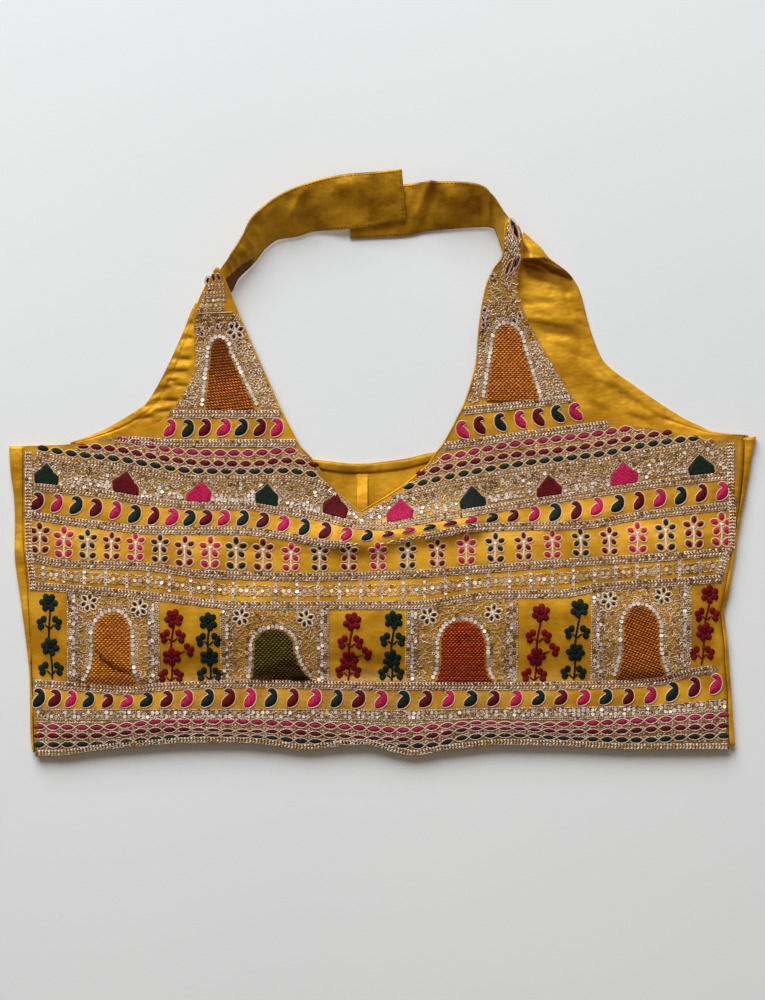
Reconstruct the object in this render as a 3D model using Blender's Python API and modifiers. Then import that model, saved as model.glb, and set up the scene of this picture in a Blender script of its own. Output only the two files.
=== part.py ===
"""Halter-neck choli blouse, laid flat on its back with the embroidered front up.

The garment lies in the XY plane with its neck towards +Y. The back rests on Z = 0. Every
length below is in millimetres and becomes metres when a mesh is made. Most pieces are height
fields: an open sheet of points, worked out from the tables of outlines and folds, pushed down
by the thickness of its cloth. The back and the straps are sheets with a Solidify modifier.
"""

import bmesh
import bpy
import numpy as np

MM = 0.001

# Cloth and seams
SATIN = 1.2  # wall of the plain satin pieces
EMBROIDERED = 1.8  # wall of the lined, embroidered front
HEM_CLOTH = 1.0  # wall of the turned hem and the placket
SEAM_GAP = 0.35  # clearance between layers
SIDE_GAP = 0.9  # groove at each side seam
SIDE_FOLD_RADIUS = 2.4  # the back's fold at each side of the body
FACE_REST = 4.8  # top of the front where it lies flat on the back
HEM_INSET = 2.2  # the back's hem stays this far above the front's hem
NECK_HEM_WIDTH = 5.8
NECK_HEM_LEFT, NECK_HEM_RIGHT = -64, 54  # its ends, hidden under the front
PLACKET_LEFT, PLACKET_RIGHT = -15.5, -8.7
PLACKET_TOP = -6.4
CENTRE_X = -13.5  # foot of the V neck

# Resolution of the sheets, in cells
LEFT_COLUMNS, RIGHT_COLUMNS = 18, 20
ARM_ROWS = 20
BACK_ROWS, BACK_COLUMNS = 22, 26
HEM_COLUMNS = 24
LEFT_PANEL_ROWS, RIGHT_PANEL_ROWS, PANEL_COLUMNS = 30, 34, 6
STRAP_ROWS, STRAP_COLUMNS = 24, 4
BODY_LEVELS = (0, 0.035, 0.075, 0.115, 0.155, 0.19, 0.225, 0.255, 0.285, 0.325, 0.38, 0.45)
BODY_LEVELS += (0.54, 0.63, 0.71, 0.78, 0.83, 0.86, 0.89, 0.925, 0.96, 1)

# Sides of the body: height up the garment, left edge, left seam, right seam, right edge
SIDES = (
    (-175.9, -209.7, -208.2, 209.0, 212.2),
    (-164.0, -211.5, -209.4, 207.9, 211.2),
    (-142.0, -211.9, -210.0, 207.3, 209.7),
    (-128.0, -212.1, -210.4, 206.2, 208.7),
    (-112.0, -213.7, -211.2, 205.2, 207.6),
    (-97.6, -215.5, -212.0, 203.6, 206.0),
    (-91.6, -216.3, -212.3, 203.1, 205.3),
    (-79.0, -218.0, -213.0, 205.4, 208.3),
    (-66.5, -219.9, -213.9, 207.7, 210.0),
    (-52.0, -221.2, -215.4, 210.4, 212.6),
    (-37.0, -221.0, -216.0, 212.5, 214.6),
    (-22.0, -221.4, -216.0, 215.0, 217.6),
    (-8.0, -223.2, -216.0, 216.8, 220.2),
    (4.3, -224.3, -216.0, 217.2, 222.0),
    (15.8, -224.7, -216.0, 217.5, 224.7),
)

# The front's hem: across, up
HEM = (
    (-209.0, -175.8),
    (-194.7, -175.6),
    (-170.1, -171.4),
    (-149.7, -169.0),
    (-110.1, -167.0),
    (-90.3, -167.5),
    (-65.7, -169.5),
    (-45.9, -172.0),
    (-26.1, -170.0),
    (-11.1, -169.0),
    (8.7, -173.8),
    (18.9, -175.5),
    (33.9, -172.9),
    (53.7, -170.5),
    (70.5, -169.0),
    (106.5, -169.7),
    (154.5, -171.8),
    (212.0, -171.6),
)

# The back's top edge: across, up
BACK_TOP = (
    (-224.7, 10.3),
    (-193.5, 10.3),
    (-42.9, 2.5),
    (-15.9, -0.1),
    (11.7, 2.5),
    (32.1, 6.8),
    (224.7, 15.8),
)

# Halter arms of the front, from the foot of the V up to the tip.
# Left arm: armhole edge x, y, neck edge x, y
LEFT_ARM = (
    (-215.6, -25.6, -13.5, -28.6),
    (-215.6, -4.0, -29.7, -13.7),
    (-215.6, 10.3, -42.9, 3.8),
    (-207.0, 10.6, -46.2, 7.3),
    (-196.5, 10.9, -49.5, 10.9),
    (-179.7, 12.2, -54.3, 19.9),
    (-160.5, 15.8, -59.1, 28.9),
    (-144.9, 19.9, -63.3, 37.9),
    (-132.9, 25.3, -66.9, 46.4),
    (-124.5, 34.9, -71.4, 56.2),
    (-116.7, 47.5, -76.5, 68.0),
    (-112.5, 61.9, -81.3, 78.8),
    (-113.7, 87.1, -87.9, 94.3),
    (-110.1, 98.0, -90.9, 102.1),
    (-105.5, 107.1, -93.6, 108.9),
    (-99.3, 116.9, -97.5, 116.5),
)
# Right arm: neck edge x, y, armhole edge x, y
RIGHT_ARM = (
    (-13.5, -28.6, 213.8, -23.8),
    (8.7, -15.4, 216.0, -4.0),
    (27.3, -0.1, 216.6, 15.8),
    (29.7, 3.4, 209.5, 16.4),
    (32.1, 6.8, 199.5, 16.9),
    (36.3, 12.2, 184.5, 17.6),
    (41.7, 21.8, 169.5, 19.9),
    (45.3, 28.9, 154.5, 22.3),
    (48.6, 35.5, 132.3, 26.6),
    (51.3, 42.8, 119.1, 34.4),
    (56.1, 61.9, 104.7, 55.9),
    (57.3, 78.1, 95.4, 71.0),
    (59.7, 96.8, 83.5, 93.8),
    (62.1, 107.5, 80.7, 105.8),
    (66.3, 116.5, 81.9, 115.9),
    (71.4, 124.2, 83.3, 123.7),
    (72.1, 132.8, 83.7, 132.8),
    (72.7, 141.1, 81.9, 140.1),
    (74.2, 145.3, 76.6, 144.9),
)
# How far the arms rise towards the straps: up, rise of the left arm, rise of the right arm
ARM_RISE = (
    (78.0, 0.0, 0.0),
    (97.0, 2.4, 2.0),
    (109.0, 6.0, 3.4),
    (118.0, 10.0, 5.6),
    (134.0, 10.0, 11.0),
    (148.0, 10.0, 12.0),
)

# Folds of the front: crest from left to right (across, up), height of the crest, how far it
# spreads above and below, and how far its ends fade
FOLDS = (
    ("bust", ((-190, -72), (-60, -66), (60, -66), (190, -62)), 5.0, 30, 50, 24),
    ("under_bust", ((-190, -127), (-60, -128), (10, -129), (70, -128), (190, -122)), 3.0, 60, 5, 20),
    ("hem_roll", ((-200, -158), (-50, -157), (13, -160), (75, -157), (200, -156)), 2.6, 14, 12, 14),
    ("pinch", ((-32, -48), (-6, -49), (10, -44), (34, -42), (58, -38)), 5.0, 15, 5, 14),
    ("pinch_left", ((-90, -45), (-67, -46), (-28, -50)), 2.2, 10, 3.5, 12),
    ("pinch_right", ((95, -39), (110, -37), (130, -34), (142, -28)), 1.8, 9, 3.5, 10),
    ("arch_fold_left", ((-176, -106), (-151, -125), (-138, -133)), 1.6, 8, 4, 8),
    ("arch_fold_mid", ((-80, -127), (-52, -119), (-41, -130)), 2.0, 11, 4.5, 8),
)
SIDE_FADE = 13.0  # folds flatten this close to a side seam

# Armhole panels, from the strap down to the side.
# Right: outer edge x, y, inner edge x, y, height of the outer edge, of the middle
RIGHT_PANEL = (
    (84.3, 139.0, 82.4, 128.6, 6.0, 7.2),
    (89.7, 134.4, 82.0, 126.6, 5.5, 8.0),
    (95.1, 129.4, 81.3, 124.6, 5.5, 8.6),
    (99.3, 124.0, 79.5, 121.8, 5.0, 8.4),
    (103.2, 121.0, 78.6, 119.0, 3.6, 5.0),
    (107.8, 117.6, 77.7, 115.9, 2.4, 2.4),
    (113.4, 112.6, 76.5, 109.8, 1.4, 2.4),
    (118.5, 104.0, 75.3, 101.5, 1.2, 3.2),
    (123.0, 87.1, 77.7, 90.8, 1.2, 3.4),
    (125.7, 78.1, 82.5, 77.5, 1.2, 1.8),
    (132.3, 62.5, 92.7, 58.3, 1.2, 2.8),
    (141.3, 53.9, 101.1, 45.1, 1.2, 2.6),
    (148.5, 48.9, 105.0, 37.5, 1.2, 2.6),
    (162.5, 39.0, 116.0, 24.5, 1.2, 2.5),
    (172.5, 32.4, 131.0, 17.2, 1.2, 2.5),
    (182.5, 26.4, 156.0, 15.1, 1.2, 2.4),
    (190.5, 22.6, 173.7, 14.8, 1.2, 2.3),
    (197.5, 19.4, 187.0, 15.6, 1.2, 2.3),
    (207.5, 17.8, 200.0, 16.3, 1.2, 2.2),
    (220.0, 17.1, 214.0, 16.7, 1.2, 2.0),
)
# Left: the same columns
LEFT_PANEL = (
    (-112.5, 96.5, -104.0, 94.5, 1.2, 2.3),
    (-115.5, 90.5, -104.7, 88.0, 1.2, 2.4),
    (-119.5, 80.0, -104.7, 77.0, 1.2, 2.5),
    (-123.5, 71.0, -104.7, 68.0, 1.2, 2.6),
    (-128.5, 60.0, -105.0, 57.0, 1.2, 2.7),
    (-132.5, 52.0, -106.5, 48.0, 1.2, 2.7),
    (-137.5, 43.0, -110.5, 37.0, 1.2, 2.7),
    (-142.5, 36.0, -115.5, 29.0, 1.2, 2.7),
    (-151.5, 29.5, -123.0, 21.0, 1.2, 2.6),
    (-161.5, 23.5, -134.0, 15.5, 1.2, 2.6),
    (-171.5, 18.5, -152.0, 13.0, 1.2, 2.4),
    (-181.5, 14.6, -170.0, 12.0, 1.2, 2.3),
    (-188.0, 12.6, -180.0, 11.6, 1.2, 2.2),
)
PANEL_TUCK = 2.5  # top of a panel where it lies under the face
# Small crinkles across a panel: x, y, length, depth, half-width along the edge
LEFT_CRINKLES = (
    (-117.0, 80.0, 9, 0.8, 1.6),
    (-116.5, 62.4, 9, 0.9, 1.6),
    (-126.0, 58.0, 9, 0.7, 1.6),
    (-119.7, 52.4, 8, 0.8, 1.6),
    (-124.0, 46.0, 9, 0.9, 1.6),
    (-134.0, 44.0, 8, 0.8, 1.6),
    (-139.0, 37.0, 9, 0.9, 1.6),
    (-128.0, 37.5, 8, 0.8, 1.6),
    (-131.0, 33.8, 9, 0.7, 1.6),
    (-140.5, 26.5, 9, 0.7, 1.6),
)
RIGHT_CRINKLES = (
    (86.5, 97.0, 7, 0.8, 2.0),
    (103.0, 81.8, 30, 1.6, 2.2),
    (119.5, 91.5, 7, 0.6, 1.8),
    (122.5, 62.0, 9, 0.5, 2.0),
    (145.0, 41.5, 16, 0.6, 2.4),
)

# Halter straps, each a ribbon between its upper and lower edges.
# Columns: upper edge x, y, z, lower edge x, y, z
LEFT_STRAP = (
    (-100.9, 110.2, 8.7, -93.3, 100.3, 2.6),
    (-95.6, 117.7, 12.0, -90.3, 103.3, 1.9),
    (-90.3, 124.6, 15.0, -86.7, 110.5, 1.7),
    (-83.7, 134.9, 16.0, -77.1, 120.1, 1.7),
    (-78.3, 145.2, 17.0, -69.9, 129.2, 1.7),
    (-70.6, 153.0, 17.0, -62.1, 134.5, 1.7),
    (-59.3, 160.8, 17.0, -51.9, 136.0, 1.7),
    (-43.2, 167.4, 17.0, -40.5, 139.3, 2.0),
    (-22.9, 172.2, 15.6, -22.5, 140.3, 4.8),
    (-2.1, 174.1, 14.0, -0.9, 143.2, 6.3),
    (11.6, 175.7, 13.2, 14.1, 146.0, 6.8),
)
RIGHT_STRAP = (
    (-19.5, 165.4, 6.6, -19.5, 135.2, 1.4),
    (14.1, 167.2, 7.4, 14.1, 136.9, 1.4),
    (26.6, 168.2, 12.0, 25.5, 139.3, 1.5),
    (41.4, 168.0, 15.5, 40.5, 140.8, 1.7),
    (56.6, 166.1, 17.0, 55.5, 141.8, 1.7),
    (62.2, 163.1, 17.0, 61.5, 142.0, 1.8),
    (65.8, 158.9, 16.6, 66.3, 141.2, 2.0),
    (70.0, 153.1, 16.0, 69.3, 135.2, 2.4),
    (74.2, 147.9, 14.8, 71.7, 127.9, 3.0),
    (77.3, 143.8, 13.8, 74.1, 120.8, 3.4),
)
STRAP_BOW = 1.4  # how far a strap bows up between its edges
# The right strap's diagonal crease, from its lower to its upper end: x, y
STRAP_CREASE = ((18.0, 143.5), (28.0, 167.5))
CREASE_HEIGHT, CREASE_WIDTH = 2.2, 2.2

MUSTARD = (0.62, 0.33, 0.02)
MUSTARD_SHADE = (0.42, 0.22, 0.012)
ZARI = (0.55, 0.38, 0.24)


def flowing_rows(table, cells):
    """The rows of a table at evenly spaced places, joined by a curve that never overshoots:
    a cubic whose slope at each row is the harmonic mean of the slopes on both sides."""
    rows = np.array(table, float)
    step = np.diff(rows, axis=0)
    before, after = step[:-1], step[1:]
    same_way = before * after > 0
    slope = np.zeros_like(rows)
    slope[1:-1][same_way] = 2 * before[same_way] * after[same_way] / (before + after)[same_way]
    slope[0], slope[-1] = step[0], step[-1]
    at = np.linspace(0, len(rows) - 1, cells + 1)
    low = np.minimum(at.astype(int), len(rows) - 2)
    t = (at - low)[:, None]
    start, end = rows[low], rows[low + 1]
    return (
        start * (1 + 2 * t) * (1 - t) ** 2
        + end * t**2 * (3 - 2 * t)
        + slope[low] * t * (1 - t) ** 2
        - slope[low + 1] * t**2 * (1 - t)
    )


def along(curve, x):
    """The height up the garment of a curve given as (across, up) points."""
    across, up = np.array(curve, float).T
    return np.interp(x, across, up)


def side_line(column, y):
    """One column of the SIDES table at a height up the garment."""
    rows = np.array(SIDES)
    return np.interp(y, rows[:, 0], rows[:, column])


def fold_height(x, y):
    """How far the front's folds lift it: each is a crest with a bell-shaped slope on each
    side, which fades at its two ends and near the side seams."""
    lift = np.zeros(np.broadcast(x, y).shape)
    for _, crest, height, above, below, fade in FOLDS:
        distance = y - along(crest, x)
        spread = np.where(distance > 0, above, below)
        from_ends = np.minimum(x - crest[0][0], crest[-1][0] - x)
        ends = np.clip(0.5 + from_ends / fade, 0, 1)
        lift += height * np.exp(-((distance / spread) ** 2)) * ends**2 * (3 - 2 * ends)
    inside = np.minimum(x - side_line(2, y), side_line(3, y) - x)
    edge = np.clip(inside / SIDE_FADE, 0, 1)
    return lift * edge**2 * (3 - 2 * edge)


def face_height(x, y):
    """Top of the front above the table: flat cloth, plus folds, plus the rise of the arms."""
    up, left, right = np.array(ARM_RISE).T
    rise = np.where(x < CENTRE_X, np.interp(y, up, left), np.interp(y, up, right))
    return FACE_REST + fold_height(x, y) + rise


def crinkle_depth(x, y, crinkles):
    """Sum of short troughs that run across: a bell in both directions for each."""
    depth = np.zeros(np.broadcast(x, y).shape)
    for middle_x, middle_y, length, deep, half_width in crinkles:
        sideways = (x - middle_x) / (length / 2)
        depth += deep * np.exp(-(sideways**4) - ((y - middle_y) / half_width) ** 2)
    return depth


def quads(points):
    """Mesh data of a sheet from its rows and columns of points."""
    rows, columns = points.shape[:2]
    ids = np.arange(rows * columns).reshape(rows, columns)
    corners = (ids[:-1, :-1], ids[:-1, 1:], ids[1:, 1:], ids[1:, :-1])
    return points.reshape(-1, 3), np.stack(corners, axis=-1).reshape(-1, 4)


def satin(name, colour):
    material = bpy.data.materials.new(name)
    material.use_nodes = True
    shader = material.node_tree.nodes["Principled BSDF"]
    shader.inputs["Base Color"].default_value = (*colour, 1)
    shader.inputs["Roughness"].default_value = 0.45
    shader.inputs["Metallic"].default_value = 0
    return material


def sheet(name, patches, colour, garment):
    """An open sheet made of one or more patches that share their edges, as an object."""
    points, faces, count = [], [], 0
    for patch in patches:
        patch_points, patch_faces = quads(patch * MM)
        points.append(patch_points)
        faces.append(patch_faces + count)
        count += len(patch_points)
    mesh = bpy.data.meshes.new(name)
    mesh.from_pydata(np.concatenate(points).tolist(), [], np.concatenate(faces).tolist())
    joined = bmesh.new()
    joined.from_mesh(mesh)
    bmesh.ops.remove_doubles(joined, verts=joined.verts, dist=0.01 * MM)
    joined.to_mesh(mesh)
    joined.free()
    mesh.materials.append(satin(name, colour))
    piece = bpy.data.objects.new(name, mesh)
    garment.objects.link(piece)
    return piece


def push_down(piece, wall):
    """Closes a height field into cloth: its faces are extruded straight down by the wall."""
    mesh = bmesh.new()
    mesh.from_mesh(piece.data)
    top = mesh.faces[:]
    extruded = bmesh.ops.extrude_face_region(mesh, geom=top, use_keep_orig=True)["geom"]
    lower = [item for item in extruded if isinstance(item, bmesh.types.BMVert)]
    bmesh.ops.translate(mesh, verts=lower, vec=(0, 0, -wall * MM))
    bmesh.ops.recalc_face_normals(mesh, faces=mesh.faces)
    mesh.to_mesh(piece.data)
    mesh.free()


def thicken(piece, wall):
    """Gives an open sheet its wall, on the side away from its faces."""
    modifier = piece.modifiers.new("cloth", "SOLIDIFY")
    modifier.thickness = wall * MM
    modifier.offset = -1


def lifted(flat):
    """A patch of the front, raised from (x, y) points to its height."""
    x, y = flat[..., 0], flat[..., 1]
    return np.stack((x, y, face_height(x, y)), axis=-1)


def between(first, second, shares):
    """Points spread over straight lines from a row of first points to a row of second ones."""
    shares = np.asarray(shares)[:, None]
    return first[:, None] * (1 - shares) + second[:, None] * shares


def body_half(top_outer, top_inner, seam_column, shares, level):
    """Rows of one half of the body, from the hem up to the foot of the V."""
    top = between(top_outer[None], top_inner[None], shares)[0]
    rows = []
    for share in level:
        seam_y = top_outer[1] * share + along(HEM, top_outer[0]) * (1 - share)
        seam_x = side_line(seam_column, seam_y)
        spread = (top[:, 0] - CENTRE_X) / (top_outer[0] - CENTRE_X)
        x = CENTRE_X + spread * (seam_x + np.sign(CENTRE_X - seam_x) * SIDE_GAP - CENTRE_X)
        x = x if share < 1 else top[:, 0]
        rows.append(np.stack((x, along(HEM, x) * (1 - share) + top[:, 1] * share), axis=-1))
    return np.array(rows)


def front_face(garment):
    """The body's two halves and the two arms, which share the line at the foot of the V."""
    left = flowing_rows(LEFT_ARM, ARM_ROWS)
    right = flowing_rows(RIGHT_ARM, ARM_ROWS)
    left_shares = np.linspace(0, 1, LEFT_COLUMNS + 1)
    right_shares = np.linspace(0, 1, RIGHT_COLUMNS + 1)
    left_arm = between(left[:, :2], left[:, 2:], left_shares)
    right_arm = between(right[:, :2], right[:, 2:], right_shares)
    left_body = body_half(left[0, :2], left[0, 2:], 2, left_shares, BODY_LEVELS)
    right_body = body_half(right[0, 2:], right[0, :2], 3, right_shares[::-1], BODY_LEVELS)
    flat = (left_body, right_body, left_arm, right_arm)
    piece = sheet("front_face", [lifted(patch) for patch in flat], ZARI, garment)
    push_down(piece, EMBROIDERED)


def fold_bend(inward):
    """Height of the side fold's round bend at a distance in from its edge, from its middle."""
    inward = np.minimum(inward, SIDE_FOLD_RADIUS)
    return np.sqrt(SIDE_FOLD_RADIUS**2 - (SIDE_FOLD_RADIUS - inward) ** 2)


def fold_over(width):
    """Distance in from the edge and height of the side fold's top, from its seam outwards.
    Over a narrow strip the bend stops sooner, so that the wall's inner corner clears the seam."""
    if width < SIDE_FOLD_RADIUS:
        width = max(0.3, (width - SATIN) / (1 - SATIN / SIDE_FOLD_RADIUS))
    inward = np.array((1, 0.55, 0.25, 0.07, 0)) * width
    return inward, SIDE_FOLD_RADIUS + fold_bend(inward)


def back_panel(garment):
    """The back: flat on the table, up round each side and over to the side seams."""
    rows = []
    for share in np.linspace(0, 1, BACK_ROWS + 1):
        foot = along(HEM, -200) + HEM_INSET
        left_y = foot * (1 - share) + along(BACK_TOP, -220) * share
        right_y = foot * (1 - share) + along(BACK_TOP, 220) * share
        left_edge, left_seam = side_line(1, left_y), side_line(2, left_y)
        right_seam, right_edge = side_line(3, right_y), side_line(4, right_y)
        left_over, left_over_z = fold_over(left_seam - left_edge)
        right_over, right_over_z = fold_over(right_edge - right_seam)
        under = np.array((0.07, 0.28, 0.6, 1)) * SIDE_FOLD_RADIUS
        under_z = SIDE_FOLD_RADIUS - fold_bend(under)
        flat_left, flat_right = left_edge + SIDE_FOLD_RADIUS, right_edge - SIDE_FOLD_RADIUS
        bottom = np.linspace(flat_left, flat_right, BACK_COLUMNS + 1)[1:-1]
        x = np.concatenate(
            (left_edge + left_over, left_edge + under, bottom,
             (right_edge - under)[::-1], (right_edge - right_over)[::-1])
        )
        z = np.concatenate((left_over_z, under_z, bottom * 0, under_z[::-1], right_over_z[::-1]))
        y = (along(HEM, x) + HEM_INSET) * (1 - share) + along(BACK_TOP, x) * share
        rows.append(np.stack((x, y, z), axis=-1))
    # Columns are reversed so that the faces point outwards, down at the table.
    piece = sheet("back_panel", [np.array(rows)[:, ::-1]], MUSTARD, garment)
    thicken(piece, SATIN)


def strip_on_back(name, left, right, upper, lower, columns, garment):
    """A strip of cloth that lies on the back between two curves."""
    x = np.linspace(left, right, columns + 1)
    height = SATIN + SEAM_GAP + HEM_CLOTH
    rows = [np.stack((x, curve(x), np.full_like(x, height)), axis=-1) for curve in (lower, upper)]
    piece = sheet(name, [np.array(rows)], MUSTARD, garment)
    push_down(piece, HEM_CLOTH)


def back_neck_hem(garment):
    strip_on_back(
        "back_neck_hem", NECK_HEM_LEFT, NECK_HEM_RIGHT,
        lambda x: along(BACK_TOP, x) - 0.3,
        lambda x: along(BACK_TOP, x) - NECK_HEM_WIDTH,
        HEM_COLUMNS, garment,
    )


def back_placket(garment):
    strip_on_back(
        "back_placket", PLACKET_LEFT, PLACKET_RIGHT,
        lambda x: np.full_like(x, PLACKET_TOP),
        lambda x: along(HEM, x) + HEM_INSET + 2,
        1, garment,
    )


def armhole_panel(name, table, crinkles, rows, garment):
    """A panel between its outer edge and its hidden inner edge: low at the edge, raised in
    the middle, and flat again where it lies under the face."""
    edges = flowing_rows(table, rows)
    shares = np.linspace(0, 1, PANEL_COLUMNS + 1)
    flat = between(edges[:, :2], edges[:, 2:4], shares)
    outer, middle = edges[:, 4:5], edges[:, 5:6]
    rising = np.interp(shares, (0, 0.2, 0.5), (0, 0.7, 1))
    tuck = np.interp(shares, (0.5, 0.8), (0, 1))
    height = outer + (middle - outer) * rising
    inner = np.minimum(height, PANEL_TUCK)
    height = height * (1 - tuck) + inner * tuck
    x, y = flat[..., 0], flat[..., 1]
    height = np.maximum(height - crinkle_depth(x, y, crinkles), SATIN)
    turned = np.stack((x, y, height), axis=-1)
    piece = sheet(name, [turned], MUSTARD, garment)
    push_down(piece, SATIN)


def halter_strap(name, table, crease, rows, garment):
    """A ribbon from edge to edge, bowed up a little between them."""
    edges = flowing_rows(table, rows)
    shares = np.linspace(0, 1, STRAP_COLUMNS + 1)
    ribbon = between(edges[:, :3], edges[:, 3:], shares)
    ribbon[..., 2] += STRAP_BOW * 4 * shares * (1 - shares)
    if crease:
        (x0, y0), (x1, y1) = crease
        length = np.hypot(x1 - x0, y1 - y0)
        off = ((ribbon[..., 0] - x0) * (y1 - y0) - (ribbon[..., 1] - y0) * (x1 - x0)) / length
        up = np.clip((ribbon[..., 1] - y0) / (y1 - y0), 0, 1)
        ribbon[..., 2] += CREASE_HEIGHT * up * np.exp(-((off / CREASE_WIDTH) ** 2))
    piece = sheet(name, [ribbon], MUSTARD_SHADE, garment)
    thicken(piece, SATIN)


def main():
    for item in list(bpy.data.objects):
        bpy.data.objects.remove(item)
    garment = bpy.data.collections.new("choli_blouse")
    bpy.context.scene.collection.children.link(garment)
    front_face(garment)
    back_panel(garment)
    back_neck_hem(garment)
    back_placket(garment)
    armhole_panel("armhole_panel_left", LEFT_PANEL, LEFT_CRINKLES, LEFT_PANEL_ROWS, garment)
    armhole_panel("armhole_panel_right", RIGHT_PANEL, RIGHT_CRINKLES, RIGHT_PANEL_ROWS, garment)
    halter_strap("halter_strap_left", LEFT_STRAP, None, STRAP_ROWS, garment)
    halter_strap("halter_strap_right", RIGHT_STRAP, STRAP_CREASE, STRAP_ROWS, garment)


main()
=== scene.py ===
"""Halter-neck choli blouse: its cloth, its embroidery, and the light on it.

The garment lies in the XY plane with its neck towards +Y. Lengths and places below are in
millimetres and become metres when a mesh is made. The cloth is worked out from the same tables
of outlines and folds as the solids. Every stitch is laid out flat as (x, y, height above the
cloth) and is then lifted onto the folded front by surface().
"""

import bpy
import numpy as np
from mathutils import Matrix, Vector

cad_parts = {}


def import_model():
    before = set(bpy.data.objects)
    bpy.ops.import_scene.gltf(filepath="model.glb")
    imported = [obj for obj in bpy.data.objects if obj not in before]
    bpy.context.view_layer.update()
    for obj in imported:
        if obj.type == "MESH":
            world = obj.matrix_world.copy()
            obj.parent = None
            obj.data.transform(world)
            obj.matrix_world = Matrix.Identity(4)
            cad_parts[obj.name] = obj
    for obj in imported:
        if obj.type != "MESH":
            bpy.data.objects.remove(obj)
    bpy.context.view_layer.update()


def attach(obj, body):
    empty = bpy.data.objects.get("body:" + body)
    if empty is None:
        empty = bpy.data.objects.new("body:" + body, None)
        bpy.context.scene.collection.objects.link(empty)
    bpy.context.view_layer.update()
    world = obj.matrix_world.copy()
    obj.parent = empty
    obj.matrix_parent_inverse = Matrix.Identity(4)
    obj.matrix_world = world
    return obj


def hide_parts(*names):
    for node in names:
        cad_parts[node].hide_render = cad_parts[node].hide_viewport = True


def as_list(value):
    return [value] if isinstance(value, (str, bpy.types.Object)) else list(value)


MM = 0.001
CHANCE = np.random.default_rng(7)

# ---------------------------------------------------------------- cloth: sizes and tables
SATIN = 1.2
EMBROIDERED = 1.8
HEM_CLOTH = 1.0
SEAM_GAP = 0.35
SIDE_GAP = 0.9
SIDE_FOLD_RADIUS = 2.4
FACE_REST = 4.8
HEM_INSET = 2.2
NECK_HEM_WIDTH = 5.8
NECK_HEM_LEFT, NECK_HEM_RIGHT = -64, 54
PLACKET_LEFT, PLACKET_RIGHT = -15.5, -8.7
PLACKET_TOP = -6.4
CENTRE_X = -13.5  # foot of the V neck
# Sides of the body: height up the garment, left edge, left seam, right seam, right edge
SIDES = (
    (-175.9, -209.7, -208.2, 209.0, 212.2), (-164.0, -211.5, -209.4, 207.9, 211.2),
    (-142.0, -211.9, -210.0, 207.3, 209.7), (-128.0, -212.1, -210.4, 206.2, 208.7),
    (-112.0, -213.7, -211.2, 205.2, 207.6), (-97.6, -215.5, -212.0, 203.6, 206.0),
    (-91.6, -216.3, -212.3, 203.1, 205.3), (-79.0, -218.0, -213.0, 205.4, 208.3),
    (-66.5, -219.9, -213.9, 207.7, 210.0), (-52.0, -221.2, -215.4, 210.4, 212.6),
    (-37.0, -221.0, -216.0, 212.5, 214.6), (-22.0, -221.4, -216.0, 215.0, 217.6),
    (-8.0, -223.2, -216.0, 216.8, 220.2), (4.3, -224.3, -216.0, 217.2, 222.0),
    (15.8, -224.7, -216.0, 217.5, 224.7),
)

# The front's hem: across, up
HEM = (
    (-209.0, -175.8), (-194.7, -175.6), (-170.1, -172.3), (-149.7, -170.3), (-110.1, -167.6),
    (-90.3, -167.5), (-65.7, -169.5), (-45.9, -172.0), (-26.1, -170.0), (-11.1, -169.0), (8.7, -173.8),
    (18.9, -175.5), (33.9, -172.9), (53.7, -170.5), (70.5, -169.0), (106.5, -169.7), (154.5, -171.8),
    (212.0, -171.6),
)

# The back's top edge: across, up
BACK_TOP = (
    (-224.7, 10.3), (-193.5, 10.3), (-42.9, 2.5), (-15.9, -0.1), (11.7, 2.5), (32.1, 6.8),
    (224.7, 15.8),
)

# Halter arms of the front, from the foot of the V up to the tip.
# Left arm: armhole edge x, y, neck edge x, y
LEFT_ARM = (
    (-215.6, -25.6, -13.5, -28.6), (-215.6, -4.0, -29.7, -13.7), (-215.6, 10.3, -42.9, 3.8),
    (-207.0, 10.6, -46.2, 7.3), (-196.5, 10.9, -49.5, 10.9), (-179.7, 12.2, -54.3, 19.9),
    (-160.5, 15.8, -59.1, 28.9), (-144.9, 19.9, -63.3, 37.9), (-132.9, 25.3, -66.9, 46.4),
    (-124.5, 34.9, -71.4, 56.2), (-116.7, 47.5, -76.5, 68.0), (-112.5, 61.9, -81.3, 78.8),
    (-113.7, 87.1, -87.9, 94.3), (-110.1, 98.0, -90.9, 102.1), (-105.5, 107.1, -93.6, 108.9),
    (-99.3, 116.9, -97.5, 116.5),
)
# Right arm: neck edge x, y, armhole edge x, y
RIGHT_ARM = (
    (-13.5, -28.6, 213.8, -23.8), (8.7, -15.4, 216.0, -4.0), (27.3, -0.1, 216.6, 15.8),
    (29.7, 3.4, 209.5, 16.4), (32.1, 6.8, 199.5, 16.9), (36.3, 12.2, 184.5, 17.6),
    (41.7, 21.8, 169.5, 19.9), (45.3, 28.9, 154.5, 22.3), (48.6, 35.5, 132.3, 26.6),
    (51.3, 42.8, 119.1, 34.4), (56.1, 61.9, 104.7, 55.9), (57.3, 78.1, 95.4, 71.0),
    (59.7, 96.8, 83.5, 93.8), (62.1, 107.5, 80.7, 105.8), (66.3, 116.5, 81.9, 115.9),
    (71.4, 124.2, 83.3, 123.7), (72.1, 132.8, 83.7, 132.8), (72.7, 141.1, 81.9, 140.1),
    (74.2, 145.3, 76.6, 144.9),
)
# How far the arms rise towards the straps: up, rise of the left arm, rise of the right arm
ARM_RISE = (
    (78.0, 0.0, 0.0), (97.0, 2.4, 2.0), (109.0, 6.0, 3.4), (118.0, 10.0, 5.6), (134.0, 10.0, 11.0),
    (148.0, 10.0, 12.0),
)

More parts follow.
